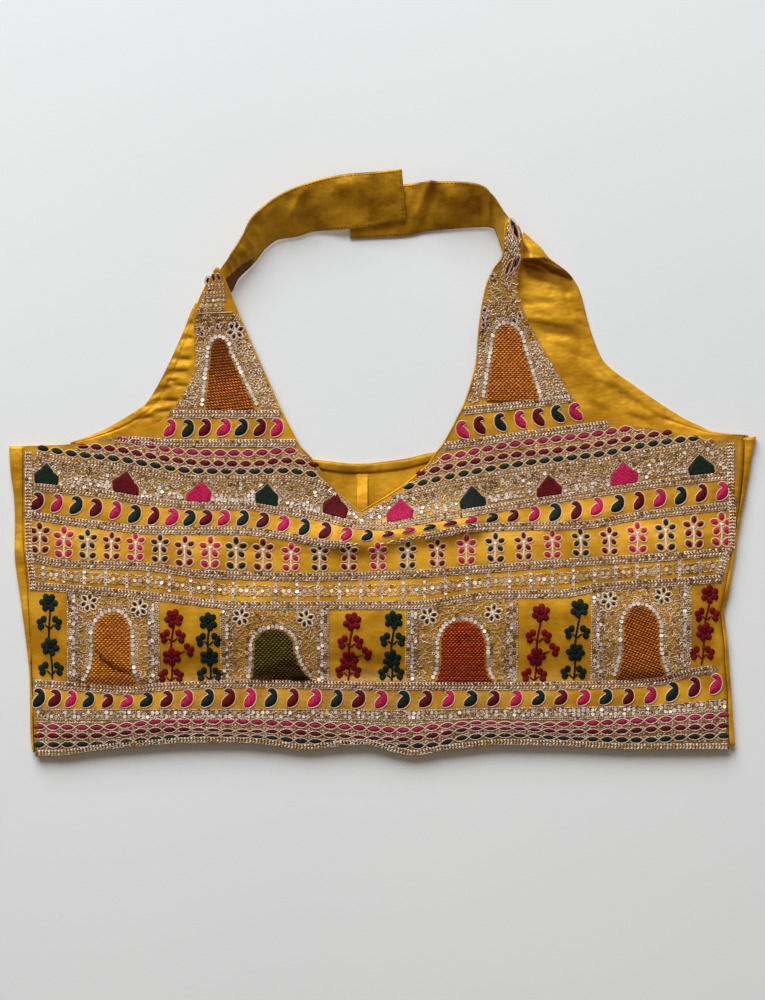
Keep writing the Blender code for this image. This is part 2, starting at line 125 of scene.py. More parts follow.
# Folds of the front: crest from left to right (across, up), height of the crest, how far it
# spreads above and below, and how far its ends fade
FOLDS = (
    (((-190, -72), (-60, -66), (60, -66), (190, -62)), 5.0, 30, 50, 24),
    (((-190, -127), (-60, -128), (10, -129), (70, -128), (190, -122)), 3.0, 60, 5, 20),
    (((-200, -158), (-50, -157), (13, -160), (75, -157), (200, -156)), 2.6, 14, 12, 14),
    (((-32, -48), (-6, -49), (10, -44), (34, -42), (58, -38)), 5.0, 15, 5, 14),
    (((-90, -45), (-67, -46), (-28, -50)), 2.2, 10, 3.5, 12),
    (((95, -39), (110, -37), (130, -34), (142, -28)), 1.8, 9, 3.5, 10),
    (((-176, -106), (-151, -125), (-138, -133)), 1.6, 8, 4, 8),
    (((-80, -127), (-52, -119), (-41, -130)), 2.0, 11, 4.5, 8),
)
SIDE_FADE = 13.0  # folds flatten this close to a side seam
SEAM_SHOWS = 0.3  # gap between the front's edge and the line of the side seam
CREASE_FADE = 8  # how far the ends of a fine crease fade
CRINKLE_SIDES = (0.6, 1.7)  # spread of a crinkle above and below its middle, in half-widths

# Armhole panels, from the strap down to the side.
# Right: outer edge x, y, inner edge x, y, height of the outer edge, of the middle
RIGHT_PANEL = (
    (84.3, 139.0, 82.4, 128.6, 6.0, 7.2), (89.7, 134.4, 82.0, 126.6, 5.5, 8.0),
    (95.1, 129.4, 81.3, 124.6, 5.5, 8.6), (99.3, 124.0, 79.5, 121.8, 5.0, 8.4),
    (103.2, 121.0, 78.6, 119.0, 3.6, 5.0), (107.8, 117.6, 77.7, 115.9, 2.4, 2.4),
    (113.4, 112.6, 76.5, 109.8, 1.4, 2.4), (118.5, 104.0, 75.3, 101.5, 1.2, 3.2),
    (123.0, 87.1, 77.7, 90.8, 1.2, 3.4), (125.7, 78.1, 82.5, 77.5, 1.2, 1.8),
    (132.3, 62.5, 92.7, 58.3, 1.2, 2.8), (141.3, 53.9, 101.1, 45.1, 1.2, 2.6),
    (148.5, 48.9, 105.0, 37.5, 1.2, 2.6), (162.5, 39.0, 116.0, 24.5, 1.2, 2.5),
    (172.5, 32.4, 131.0, 17.2, 1.2, 2.5), (182.5, 26.4, 156.0, 15.1, 1.2, 2.4),
    (190.5, 22.6, 173.7, 14.8, 1.2, 2.3), (197.5, 19.4, 187.0, 15.6, 1.2, 2.3),
    (207.5, 17.8, 200.0, 16.3, 1.2, 2.2), (220.0, 17.1, 214.0, 16.7, 1.2, 2.0),
)
# Left: the same columns
LEFT_PANEL = (
    (-112.5, 96.5, -104.0, 94.5, 1.2, 2.3), (-115.5, 90.5, -104.7, 88.0, 1.2, 2.4),
    (-119.5, 80.0, -104.7, 77.0, 1.2, 2.5), (-123.5, 71.0, -104.7, 68.0, 1.2, 2.6),
    (-128.5, 60.0, -105.0, 57.0, 1.2, 2.7), (-132.5, 52.0, -106.5, 48.0, 1.2, 2.7),
    (-137.5, 43.0, -110.5, 37.0, 1.2, 2.7), (-142.5, 36.0, -115.5, 29.0, 1.2, 2.7),
    (-151.5, 29.5, -123.0, 21.0, 1.2, 2.6), (-161.5, 23.5, -134.0, 15.5, 1.2, 2.6),
    (-171.5, 18.5, -152.0, 13.0, 1.2, 2.4), (-181.5, 14.6, -170.0, 12.0, 1.2, 2.3),
    (-188.0, 12.6, -180.0, 11.6, 1.2, 2.2),
)
PANEL_TUCK = 2.5  # top of a panel where it lies under the face
# Small crinkles across a panel: x, y, length, depth, half-width along the edge, slope
LEFT_CRINKLES = (
    (-118.5, 76.0, 9, 1.0, 1.5, -0.1), (-115.5, 84.5, 7, 0.7, 1.4, 0.1),
    (-127.0, 64.8, 8, 1.1, 1.5, 0.1), (-119.5, 63.0, 9, 1.2, 1.6, -0.05),
    (-131.0, 54.5, 8, 1.1, 1.5, 0.2), (-122.0, 55.5, 10, 1.2, 1.6, 0.0),
    (-133.0, 45.0, 11, 1.3, 1.6, 0.15), (-120.5, 47.0, 9, 0.9, 1.5, -0.1),
    (-138.0, 37.0, 10, 1.2, 1.6, 0.2), (-127.0, 38.0, 9, 1.1, 1.5, 0.0),
    (-132.0, 31.5, 10, 0.9, 1.5, 0.1), (-143.0, 27.5, 10, 0.9, 1.5, 0.25),
    (-124.5, 71.5, 6, 0.6, 1.2, 0.2), (-126.5, 49.8, 6, 0.6, 1.2, -0.1),
)
RIGHT_CRINKLES = (
    (86.5, 97.0, 8, 0.9, 1.8, -0.1), (103.0, 82.2, 31, 2.2, 2.4, -0.2),
    (99.5, 114.0, 31, 3.4, 3.6, -0.34), (99.5, 119.0, 30, -2.2, 2.8, -0.34),
    (119.5, 92.0, 8, 1.0, 1.6, -0.2), (120.5, 84.0, 8, 0.9, 1.5, -0.3),
    (123.0, 78.3, 7, 0.7, 1.4, -0.3), (144.6, 42.2, 22, 1.2, 2.2, -0.55),
    (154.0, 27.5, 14, 0.8, 2.0, -0.3), (107.0, 104.0, 15, 0.6, 2.2, -0.1),
    (96.5, 98.0, 12, 0.7, 1.8, -0.15), (112.5, 97.5, 10, 0.6, 1.7, -0.2),
    (110.0, 70.0, 17, 0.5, 2.4, -0.2), (119.0, 65.0, 11, 0.6, 2.0, -0.3),
    (134.0, 58.5, 9, 0.6, 1.8, -0.5), (127.0, 50.0, 13, 0.5, 2.4, -0.4),
    (96.0, 90.0, 13, 0.5, 1.8, -0.1), (131.0, 34.0, 15, 0.6, 2.2, -0.4),
    (168.0, 27.0, 12, 0.6, 1.8, -0.3),
)

# Halter straps, each a ribbon between its upper and lower edges.
# Columns: upper edge x, y, z, lower edge x, y, z
LEFT_STRAP = (
    (-100.9, 110.2, 8.7, -93.3, 100.3, 2.6), (-95.6, 117.7, 12.0, -90.3, 103.3, 1.9),
    (-90.3, 124.6, 15.0, -86.7, 110.5, 1.7), (-83.7, 134.9, 16.0, -77.1, 120.1, 1.7),
    (-78.3, 145.2, 17.0, -69.9, 129.2, 1.7), (-70.6, 153.0, 17.0, -62.1, 134.5, 1.7),
    (-59.3, 160.8, 17.0, -51.9, 136.0, 1.7), (-43.2, 167.4, 17.0, -40.5, 139.3, 2.0),
    (-22.9, 172.2, 15.6, -22.5, 140.3, 4.8), (-2.1, 174.1, 14.0, -0.9, 143.2, 6.3),
    (11.6, 175.7, 13.2, 14.1, 146.0, 6.8),
)
RIGHT_STRAP = (
    (-19.5, 165.4, 6.6, -19.5, 135.2, 1.4), (14.1, 167.2, 7.4, 14.1, 136.9, 1.4),
    (26.6, 168.2, 12.0, 25.5, 139.3, 1.5), (41.4, 168.0, 15.5, 40.5, 140.8, 1.7),
    (56.6, 166.1, 17.0, 55.5, 141.8, 1.7), (62.2, 163.1, 17.0, 61.5, 142.0, 1.8),
    (65.8, 158.9, 16.6, 66.3, 141.2, 2.0), (70.0, 153.1, 16.0, 69.3, 135.2, 2.4),
    (74.2, 147.9, 14.8, 71.7, 127.9, 3.0), (77.3, 143.8, 13.8, 74.1, 120.8, 3.4),
)
STRAP_BOW = 1.4  # how far a strap bows up between its edges
# The right strap's diagonal crease, from its lower to its upper end: x, y
STRAP_CREASE = ((18.0, 143.5), (28.0, 167.5))
CREASE_HEIGHT, CREASE_WIDTH = 4.4, 2.4
# Where painted shade darkens the satin: where the left strap turns under by the arm, and below the flap of
# the right panel
STRAP_TURN_SHADE = np.array((
    (-95, 109.2), (-91, 112.6), (-84.6, 118.9), (-76.2, 123.7), (-81.5, 114.1), (-86.7, 107.6),
    (-90.1, 101.8),
))
FLAP_SHADE = np.array((
    (84.3, 122.9), (97.5, 123.4), (106.5, 118.8), (115.5, 112.4), (114.0, 109.6), (104.1, 113.4),
    (94.5, 118.6), (84.3, 121.0),
))
# Where a fold shades the foot of the second arch
FOLD_SHADE = np.array((
    (-79, -128.2), (-68, -124.6), (-58, -121.2), (-48, -118.4), (-42, -132), (-80, -132),
))
MUSTARD_LIGHT = (0.85, 0.44, 0.026)
MUSTARD_DEEP = (0.52, 0.235, 0.007)
# Ripples of the straps: middle along the strap, width, height, from and to across it, lean
LEFT_RIPPLES = (
    (0.17, 0.014, 1.5, 0.0, 1.0, 0.02), (0.225, 0.013, 1.5, 0.1, 1.0, 0.02),
    (0.28, 0.014, 1.6, 0.1, 1.0, 0.03), (0.335, 0.014, 1.3, 0.0, 1.0, 0.03),
    (0.40, 0.016, 1.0, 0.1, 0.9, 0.0), (0.52, 0.03, -1.4, 0.2, 0.9, -0.12),
    (0.62, 0.03, 3.0, 0.0, 0.75, -0.14), (0.78, 0.06, 2.6, 0.0, 0.6, -0.10),
    (0.90, 0.03, -1.0, 0.3, 1.0, 0.0),
)
RIGHT_RIPPLES = (
    (0.12, 0.03, 1.2, 0.0, 1.0, 0.05), (0.345, 0.05, 2.6, 0.0, 0.7, 0.05),
    (0.50, 0.035, -1.6, 0.2, 1.0, 0.04), (0.60, 0.04, 1.8, 0.0, 0.9, 0.0),
)
STITCH_DYE = np.array((0.30, 0.13, 0.012))

# Fine creases of the front, narrower than the folds: middle line, depth, half-width
CREASES = (
    (((-177, -106), (-166, -118), (-152, -126), (-140, -134)), 1.5, 2.2),
    (((-79, -127.5), (-68, -124), (-58, -120.5), (-49, -118)), 1.5, 2.6),
    (((-36, -118), (-22, -117), (-6, -119), (4, -122)), 0.9, 3.0),
    (((-68, -46), (-45, -49), (-28, -51.5), (-20, -50)), 1.0, 1.6),
    (((108, -38), (124, -35), (132, -34), (139, -29)), 1.0, 1.6),
    (((182, -122), (186, -114), (190, -106)), 1.0, 1.8),
)

# Billows: middle up, reach above and below it, and heights at places across
BILLOWS = (
    (
        -91, 12, 30,
        (
            (-220, 0.3), (-183, 0.4), (-158, 0.5), (-125, 2.8), (-96, 3.4), (-67, 3.2), (-39, 2.6),
            (-10, 3.3), (19, 2.6), (48, 0.8), (77, 2.7), (105, 3.4), (134, 2.0), (163, 0.6), (220, 0.4),
        ),
    ),
    (
        -127, 12, 4,
        (
            (-220, 0.0), (-158, 0.0), (-125, -2.2), (-96, -2.6), (-67, -1.4), (-39, -2.2), (-10, -2.8),
            (19, -2.2), (48, -0.4), (77, -2.2), (105, -2.8), (134, -1.6), (163, 0.0), (220, 0.0),
        ),
    ),
    (
        -139, 7, 16,
        ((-220, 0.6), (-150, 1.4), (-90, 2.2), (20, 2.2), (110, 2.0), (160, 0.9), (220, 0.4)),
    ),
    (
        -48, 10, 22,
        (
            (-220, 0.4), (-160, 1.0), (-120, 0.4), (-20, 0.2), (70, 0.6), (105, 1.6), (150, 2.0),
            (195, 0.8), (220, 0.3),
        ),
    ),
)

# ---------------------------------------------------------------- embroidery: sizes and tables
BRAID = 4.5  # width of a herringbone braid
SIDE_BRAID = 3.8  # width of the braids beside the seams
BY_BRAID = 2.6  # from a braid's middle to the work beside it
BRAID_PITCH = 1.95  # from stitch to stitch along a braid
THREAD_TWIST = 0.25  # how much thinner each second point of a thread is
THREAD_PITCH = 0.8  # from point to point along a thread
ROW_STEP = 0.87  # from row to row of a hexagonal lattice, in pitches
PAISLEY_RIM = 0.42  # from a paisley's edge to the middle of its outline
LINE_PITCH = 1.5  # from stitch to stitch along a line
HEM_OVAL_PITCH, SEQUIN_FLOWER_PITCH = 8.8, 12.7
# Directions of round work, and of straight stitches, which look the same half a turn on
ANY_TURN, ANY_LEAN = (0, 6.3), (0, 3.1)
# Under the V, shares of the places that hold a closed loop, a curl and a sequin
LOOP_SHARE, CURL_SHARE, DISC_SHARE = 0.3, 0.45, 0.2
FULL_COVER = 0.85  # how much of the satin the closest work hides
SEQUIN = 2.35  # across
WORK_INSET = 1.2  # plain cloth left along the front's edges
ROW_ENDS = (-217, 214)  # where the braids of the body start and end
BAND_ENDS = (-216, 212)  # and the rows of the sequin band
PUFF = 0.35  # how far the cloth swells between two braids
SUNK = -0.25  # how deep the edges of embroidery lie in the cloth
OVAL_DYES = {
    "pink": (0.42, 0.022, 0.075), "maroon": (0.150, 0.005, 0.010), "green": (0.018, 0.028, 0.018),
}
METAL_BEIGE = np.array((0.72, 0.50, 0.37))
METAL_BROWN = np.array((0.17, 0.08, 0.04))
METAL_WHITE = np.array((0.98, 0.83, 0.69))
METAL_PALE = np.array((0.88, 0.68, 0.56))
METAL_GOLD = np.array((0.62, 0.38, 0.10))
FOIL = np.array((0.95, 0.79, 0.68))
# Painted shade round the rim of each sequin
SEQUIN_RIM_SHADE = np.array((0.16, 0.09, 0.05))
# Shares of white, brown and golden stitches in a row or ground
PALE_MIX = (0.50, 0.04, 0.04)
ROPE_MIX = (0.26, 0.08, 0.05)
MIXED = (0.26, 0.16, 0.20)
DIM_MIX = (0.16, 0.30, 0.18)
GOLDEN_MIX = (0.14, 0.14, 0.52)
HEM_MIX = (0.55, 0.0, 0.22)
# Steps across and up between a weave's stitches, and how far it is turned
WEAVE_STEPS = {
    "basket": (1.2, 1.25, 0.0), "olive": (1.25, 1.2, 0.05), "banded": (1.1, 1.15, 0.0),
    "slanted": (1.25, 1.15, 0.35), "ribbed": (1.35, 1.15, -0.6),
}
# Where the embroidery ends on the right: height up the garment, across
WORK_RIGHT = (
    (-175, 207.3), (-171, 207.3), (-136, 205.5), (-122, 199), (-73.6, 202.5), (-59, 207), (-49, 211.5),
    (-22, 212), (-9, 211), (16, 210.9),
)
# The bust braid is hidden between these places, where the cloth folds over it
HIDDEN = (-24, 25)

# Middle lines of the rows across the body: across, up
YOKE_BRAID = (
    (-215.5, -13.5), (-169.5, -18), (-139.5, -23), (-109.5, -25.5), (-85.5, -25.5), (-61.5, -28.5),
    (-37.5, -32), (-13.5, -37), (1.5, -37.5), (22.5, -34), (70.5, -26.5), (112.5, -20), (166.5, -12),
    (213, -6.8),
)
BUST_BRAID = (
    (-215.5, -30), (-193.5, -34), (-169.5, -37), (-139.5, -40), (-85.5, -40.5), (-61.5, -43),
    (-31.5, -48.5), (-1.5, -49.5), (28.5, -43.5), (58.5, -38.5), (118.5, -37), (154.5, -31.5),
    (213, -25),
)
BOOTI_BRAID = (
    (-214, -55.5), (-193.5, -60), (-139.5, -62), (-109.5, -66), (-49.5, -68), (4.5, -67), (58.5, -63.5),
    (118.5, -59), (154.5, -57), (209, -53),
)
ARCH_BRAID = (
    (-213, -73.5), (-169.5, -76.5), (-133.5, -80), (-82.5, -85), (13, -85), (70.5, -78.5), (106.5, -78),
    (130.5, -74), (184.5, -70.5), (206, -69),
)
WAIST_BRAID = (
    (-212, -132), (-181.5, -134), (-151.5, -136), (-133.5, -134), (-79.5, -132), (10.5, -133.5),
    (70.5, -133.5), (142.5, -132.5), (166.5, -130.5), (184.5, -125.5), (203, -123),
)
SEQUIN_BAND = (
    (-211, -150.5), (-49.5, -150.5), (10.5, -151), (58.5, -150), (154.5, -148.5), (178.5, -147),
    (208, -144.5),
)
BRAID_ROWS = (YOKE_BRAID, BUST_BRAID, BOOTI_BRAID, ARCH_BRAID, WAIST_BRAID, SEQUIN_BAND)
# Chains of ovals above the hem
PINK_HEM = (
    (-210.5, -158), (-175, -158.5), (-147.5, -156.5), (-130.5, -154.5), (-94, -154.5), (-57.5, -156),
    (-22.5, -158), (13, -160), (31.5, -158), (57.5, -155.5), (95, -156.5), (132.5, -155.5),
    (169.5, -153.5), (209, -151),
)
MAROON_HEM = (
    (-210.5, -163.5), (-175.5, -163.5), (-148, -161), (-118.5, -159.5), (-85, -160.5), (-57.5, -161),
    (-31, -163), (13, -165.5), (31, -163), (57.5, -159), (75.5, -159), (113.5, -161), (132.5, -161),
    (169, -159), (209, -157.5),
)
GREEN_HEM = (
    (-210.5, -169), (-173, -168.5), (-145.5, -166.3), (-128.5, -164.5), (-109.5, -163.1), (-73.5, -164),
    (-49, -166.5), (-29.5, -167), (13, -169.5), (31, -169), (49, -164.5), (74.5, -163), (111.5, -165),
    (158.5, -166), (185.5, -164), (209, -163.5),
)
# Chains of ovals over the bust, on each side of the neck: middle line, dye
YOKE_CHAINS = (
    (((-160, 15.5), (-139, 10.5), (-122, 7), (-100.5, 6), (-77.5, 6), (-56, 7.5), (-43, 6)), "pink"),
    (
        (
            (-184, 10.5), (-161.5, 8.5), (-145.5, 5.5), (-129.5, 2.5), (-106.5, 0), (-78.5, -0.5),
            (-58.5, 1.5), (-37, -1.5),
        ),
        "maroon",
    ),
    (
        (
            (-208, 9.8), (-188.5, 6), (-171.5, 4), (-155, 2), (-138.5, -1), (-114.5, -4.5), (-85.5, -5),
            (-58.5, -4.5), (-43, -6.5), (-30, -10.5),
        ),
        "green",
    ),
    (((26, 1), (46.5, 5), (62.5, 8.5), (79.5, 11.5), (95.5, 13.5), (128, 17.5), (158, 22.5)), "pink"),
    (((19, -7), (41, -2), (72.5, 4), (112.5, 8.5), (144.5, 14), (175, 19)), "maroon"),
    (((12, -15), (33.5, -9.5), (64, -3.5), (96.5, 1.5), (128, 5), (161, 11.5), (199, 16.5)), "green"),
)
OVAL_PITCH, OVAL_TALL = 8.3, 3.7
# Braids under the arms' paisleys and under the arms' arches
YOKE_TOP = (
    ((-172, 16), (-145.5, 13.5), (-121.5, 12), (-79.5, 12), (-46, 12)),
    ((34.5, 9.9), (58.5, 13), (82.5, 16.5), (106.5, 19.5), (136, 23.5)),
)
ARM_FOOT = (((-131, 29.5), (-100.5, 29.5), (-58, 29.5)), ((44, 31), (82.5, 35), (119, 39.8)))

# Where evenly spaced motifs stand: (number, across) at a few of them
BOOTIS, PAISLEYS, WAIST_PAISLEYS = 26, 35, 33
BOOTI_TALL = 18.4  # height of a booti of size 1
BOOTI_AT = ((0, -205.5), (8, -87.5), (17, 67.5), (25, 203.5))
PAISLEY_AT = ((0, -206.5), (7, -125.5), (10, -94.5), (17, -8.5), (34, 204.5))
WAIST_PAISLEY_AT = ((0, -205.5), (3, -175.5), (32, 200.5))
# Gables: across, width, height, lean of the top
GABLES_AT = (
    (-201.8, 14.8, 12.4, 0.3), (-154, 16.2, 13.6, 0.4), (-110.5, 15.4, 12.6, 2.0),
    (-69.4, 14.4, 12.8, 0.6), (-28.5, 15.2, 14.0, 0.9), (10.4, 16.4, 13.0, 0.2),
    (54.4, 16.2, 13.2, -0.9), (100.3, 15.8, 12.6, -0.7), (145.2, 16.6, 13.4, -0.9),
    (191.6, 16.4, 12.2, -1.3),
)
CYCLE = ("maroon", "pink", "green")
DARK_CYCLE = ("green", "maroon", "pink")
# Where the bust folds over its row of paisleys: across, and how tall they show
FOLDED_ROOM = (
    (-300, 20), (-14, 20), (-4, 8.5), (3, 3.6), (40, 3.4), (52, 6.0), (66, 8.5), (82, 20), (300, 20),
)
OPEN_ROOM = ((-300, 20), (300, 20))
# Spine of a paisley of unit height from its blunt foot to its hook: x, y, half-width
PAISLEY_SPINE = (
    (-0.48, -0.33, 0.0), (-0.42, -0.33, 0.13), (-0.30, -0.29, 0.20), (-0.15, -0.21, 0.25),
    (0.00, -0.10, 0.27), (0.085, 0.04, 0.245), (0.115, 0.18, 0.20), (0.075, 0.30, 0.16),
    (-0.03, 0.37, 0.13), (-0.15, 0.395, 0.09), (-0.25, 0.37, 0.05), (-0.31, 0.34, 0.0),
)
# Petals of a booti: across, up, direction, length, width
BOOTI_PETALS = (
    (0.0, 4.0, 1.57, 3.7, 2.7), (1.3, 3.1, 0.26, 3.8, 2.5), (-1.3, 3.1, 2.88, 3.8, 2.5),
    (0.9, 0.9, -0.76, 3.8, 2.7), (-0.9, 0.9, 3.90, 3.8, 2.7), (0.9, -7.7, 0.62, 4.0, 2.9),
    (-0.9, -7.7, 2.52, 4.0, 2.9),
)
# Outline of the ground under the foot of the V
NECK_FOOT = np.array((
    (-33, -13), (-15.5, -29), (-13, -31), (9, -18.5), (15, -16), (15, -33.5), (-13.5, -34.4),
    (-33, -30),
))
# Arms: their table, and its columns of the armhole edge and of the neck edge
ARMS = ((LEFT_ARM, [0, 1], [2, 3]), (RIGHT_ARM, [2, 3], [0, 1]))
DIM_FROM = 74  # how far up the ground of the arms turns dim
# Arm paisleys: across, up, dye
ARM_PAISLEYS = (
    (-127, 20.8, "pink"), (-116.2, 20.9, "green"), (-106, 21.2, "maroon"), (-94.5, 21.2, "pink"),
    (-84, 21.3, "green"), (-73, 21.3, "maroon"), (-62.8, 21.4, "pink"), (47.5, 19.8, "pink"),
    (57.8, 22.8, "maroon"), (70.2, 24.5, "green"), (82.3, 26.0, "pink"), (93.2, 27.6, "maroon"),
    (104.6, 29.4, "green"), (115.4, 30.6, "pink"),
)
# Petals above the arms' arches: across, up, direction, length, width, dye
ARM_PETALS = (
    (-104.6, 109.4, 1.25, 4.0, 1.7, "maroon"), (-101.0, 110.6, 1.6, 4.0, 1.7, "maroon"),
    (-97.9, 110.9, 1.9, 3.6, 1.5, "maroon"), (-109.8, 80.3, 0.9, 2.6, 1.8, "navy"),
    (-108.6, 77.6, 2.2, 2.6, 1.8, "navy"), (-98.9, 81.3, 1.5, 2.4, 1.7, "navy"),
    (-90.2, 82.6, 0.7, 3.0, 2.0, "navy"), (78.6, 139.6, -1.22, 13.0, 2.9, "navy"),
    (75.4, 117.0, 1.15, 9.5, 1.7, "maroon"), (78.2, 118.4, 1.15, 11.0, 1.9, "maroon"),
    (80.3, 119.9, 1.2, 9.0, 1.5, "maroon"), (61.2, 91.6, 1.2, 2.4, 1.6, "navy"),
    (63.6, 90.2, 0.2, 2.4, 1.6, "navy"), (60.4, 86.3, 1.9, 2.4, 1.6, "navy"),
    (63.0, 86.8, 0.9, 2.4, 1.6, "navy"), (60.4, 82.6, 1.4, 2.4, 1.6, "navy"),
    (82.2, 88.8, 1.9, 2.6, 1.7, "navy"), (79.2, 85.2, 2.3, 2.6, 1.7, "navy"),
)

# Arches: apex x, y, shoulder y, left x, right x, foot y, left x, right x, flare, weave
ARCHES = (
    (-160.5, -89.5, -103, -172.5, -151.0, -133.5, -180.5, -146.5, 4, "basket"),
    (-65.0, -99.5, -109, -77.0, -53.0, -130.5, -79.0, -42.0, 2, "olive"),
    (47.0, -94.5, -108, 34.5, 61.5, -132.0, 29.5, 67.5, 5, "banded"),
    (152.5, -85.5, -99, 144.0, 165.0, -130.5, 139.0, 172.0, 3, "slanted"),
    (-98.0, 74.5, 67, -103.2, -92.5, 31.5, -107.0, -75.5, 1, "ribbed"),
    (73.5, 82.5, 71, 67.0, 83.5, 36.5, 61.5, 94.5, 1, "basket"),
)
# Frames round the arches of the body: left, right, and whether they are pale
FRAMES = ((-188.5, -133.5, True), (-96.5, -32.5, False), (14.0, 80.5, False), (125.0, 184.5, True))
# Flowers beside the arches: across, up
STARS = (
    (-175.5, -83.3), (-145.5, -86.5), (-84.5, -92), (-46, -93), (27.5, -91.5), (66, -89.5),
    (135.5, -82), (167.5, -79.5), (-88.2, 79.3),
)
# Sprigs of the panels between the frames: across at the top, at the foot, heights of its
# two flowers and two pairs of leaves as shares of the panel from the top, side leaf, dye
SPRIGS = (
    (-200.5, -198.5, 0.13, 0.62, 0.36, 0.87, 0, "green"),
    (-124.0, -127.0, 0.20, 0.68, 0.43, 0.92, 1, "red"),
    (-104.0, -103.5, 0.20, 0.68, 0.45, 0.92, 0, "green"),
    (-17.5, -21.0, 0.17, 0.70, 0.46, 0.86, 1, "red"), (7.0, 5.0, 0.15, 0.68, 0.42, 0.88, 0, "green"),
    (95.5, 90.5, 0.18, 0.70, 0.46, 0.92, 1, "red"), (118.0, 114.0, 0.15, 0.66, 0.43, 0.90, 0, "green"),
    (197.0, 190.5, 0.13, 0.58, 0.38, 0.84, 0, "red"),
)

DYES = {
    "pink": (0.58, 0.013, 0.088), "maroon": (0.135, 0.003, 0.006), "red": (0.19, 0.004, 0.008),
    "green": (0.009, 0.021, 0.013), "navy": (0.008, 0.010, 0.013),
}
# Weaves: dark dye, bright dye, and painted shade at four places from the foot to the apex
WEAVES = {
    "basket": ((0.42, 0.11, 0.012), (0.80, 0.29, 0.044), (0.95, 1.05, 1.1, 1.05)),
    "olive": ((0.055, 0.038, 0.007), (0.16, 0.115, 0.020), (0.8, 1.0, 1.05, 1.0)),
    "banded": ((0.34, 0.035, 0.008), (0.64, 0.10, 0.022), (0.6, 0.9, 1.05, 1.25)),
    "slanted": ((0.30, 0.060, 0.007), (0.66, 0.21, 0.032), (0.5, 1.1, 1.1, 0.9)),
    "ribbed": ((0.20, 0.038, 0.006), (0.66, 0.20, 0.030), (1.0, 1.25, 0.62, 0.36)),
}

# ---------------------------------------------------------------- light and camera: sizes
# In metres; the lens and its sensor in millimetres
WINDOW_AT, WINDOW_SIZE, WINDOW_POWER = (-0.7, 2.65, 1.85), 2.7, 164
WINDOW_COLOUR = (0.93, 0.972, 1.0)
ROOM_COLOUR, ROOM_LIGHT = (1.0, 0.80, 0.60), 0.21
TABLE_HALF, TABLE_TOP = 4.0, -0.00025
CAMERA_AT = (0, -0.02205, 1.605)
LENS, SENSOR = 96, 36


# ---------------------------------------------------------------- curves and surfaces
def smooth(points, x):
    """Height at x of the curve through (across, up) points: a cubic between neighbours whose
    slope at each point is the harmonic mean of those beside it, so that it never overshoots."""
    across, up = np.array(points, float).T
    run = np.diff(across)
    slope = np.diff(up) / run
    before, after = slope[:-1], slope[1:]
    same_way = before * after > 0
    at = np.zeros_like(across)
    at[1:-1][same_way] = 2 * before[same_way] * after[same_way] / (before + after)[same_way]
    at[0], at[-1] = slope[0], slope[-1]
    low = np.clip(np.searchsorted(across, x) - 1, 0, len(run) - 1)
    t = np.clip((x - across[low]) / run[low], 0, 1)
    return (
        up[low] * (1 + 2 * t) * (1 - t) ** 2
        + up[low + 1] * t**2 * (3 - 2 * t)
        + at[low] * run[low] * t * (1 - t) ** 2
        - at[low + 1] * run[low] * t**2 * (1 - t)
    )


def flat(x, y):
    """Flat places from how far across and how far up they are."""
    return np.stack(np.broadcast_arrays(x, y), axis=-1)


def heading(angle):
    """The unit vector that points at an angle."""
    return flat(np.cos(angle), np.sin(angle))


def flowing_rows(table, cells):
    """The rows of a table at evenly spaced places, each column joined by the curve of smooth()."""
    rows = np.array(table, float)
    number = np.arange(len(rows))
    at = np.linspace(0, len(rows) - 1, cells + 1)
    return np.stack([smooth(flat(number, column), at) for column in rows.T], axis=-1)


def column_at(table, column, y):
    """One column of a table at a height up the garment, which is the table's first column."""
    return smooth(np.array(table)[:, [0, column]], y)


def side_line(column, y):
    """How far across an edge or a side seam of the body runs at a height up the garment."""
    return column_at(SIDES, column, y)


def ease(t):
    """From 0 to 1 with level ends: t squared times 3 minus 2t, with t held between 0 and 1."""
    t = np.clip(t, 0, 1)
    return t**2 * (3 - 2 * t)


def bell(off, spread):
    """From 1 at the middle to nearly 0 at twice the spread: e to minus the square of off / spread."""
    return np.exp(-((off / spread) ** 2))


def from_ends(x, line):
    """How far in from the nearer end of a line a place across lies."""
    return np.minimum(x - line[0][0], line[-1][0] - x)


def off_seams(x, y):
    """From 0 at a side seam to 1 where the folds are whole."""
    return ease(np.minimum(x - side_line(2, y), side_line(3, y) - x) / SIDE_FADE)


def fold_height(x, y):
    """How far the front's folds lift it: each is a crest with a bell-shaped slope on each
    side, which fades at its two ends and near the side seams."""
    lift = 0
    for crest, height, above, below, fade in FOLDS:
        distance = y - smooth(crest, x)
        slope = bell(distance, np.where(distance > 0, above, below))
        lift = lift + height * slope * ease(0.5 + from_ends(x, crest) / fade)
    return lift * off_seams(x, y)


def billow(x, y):
    """Long soft swells under the rows, higher in some places across than in others: bells with
    one slope above their middle and another below."""
    lift = 0
    for middle, above, below, heights in BILLOWS:
        lift = lift + smooth(heights, x) * bell(y - middle, np.where(y > middle, above, below))
    return lift * off_seams(x, y)


def crease_depth(x, y):
    """Sum of the fine creases: each a trough of bell-shaped section along its middle line."""
    depth = 0
    for line, deep, half_width in CREASES:
        fading = ease(0.3 + from_ends(x, line) / CREASE_FADE)
        depth = depth + deep * bell(y - smooth(line, x), half_width) * fading
    return depth


def puff(x, y):
    """The cloth swells between two braids: half a sine wave from one row's middle to the next."""
    swell = 0
    for upper, lower in zip(BRAID_ROWS[:-1], BRAID_ROWS[1:]):
        top, foot = smooth(upper, x), smooth(lower, x)
        share = np.clip((y - foot) / np.maximum(top - foot, 1), 0, 1)
        swell = swell + PUFF * np.sin(np.pi * share)
    return swell


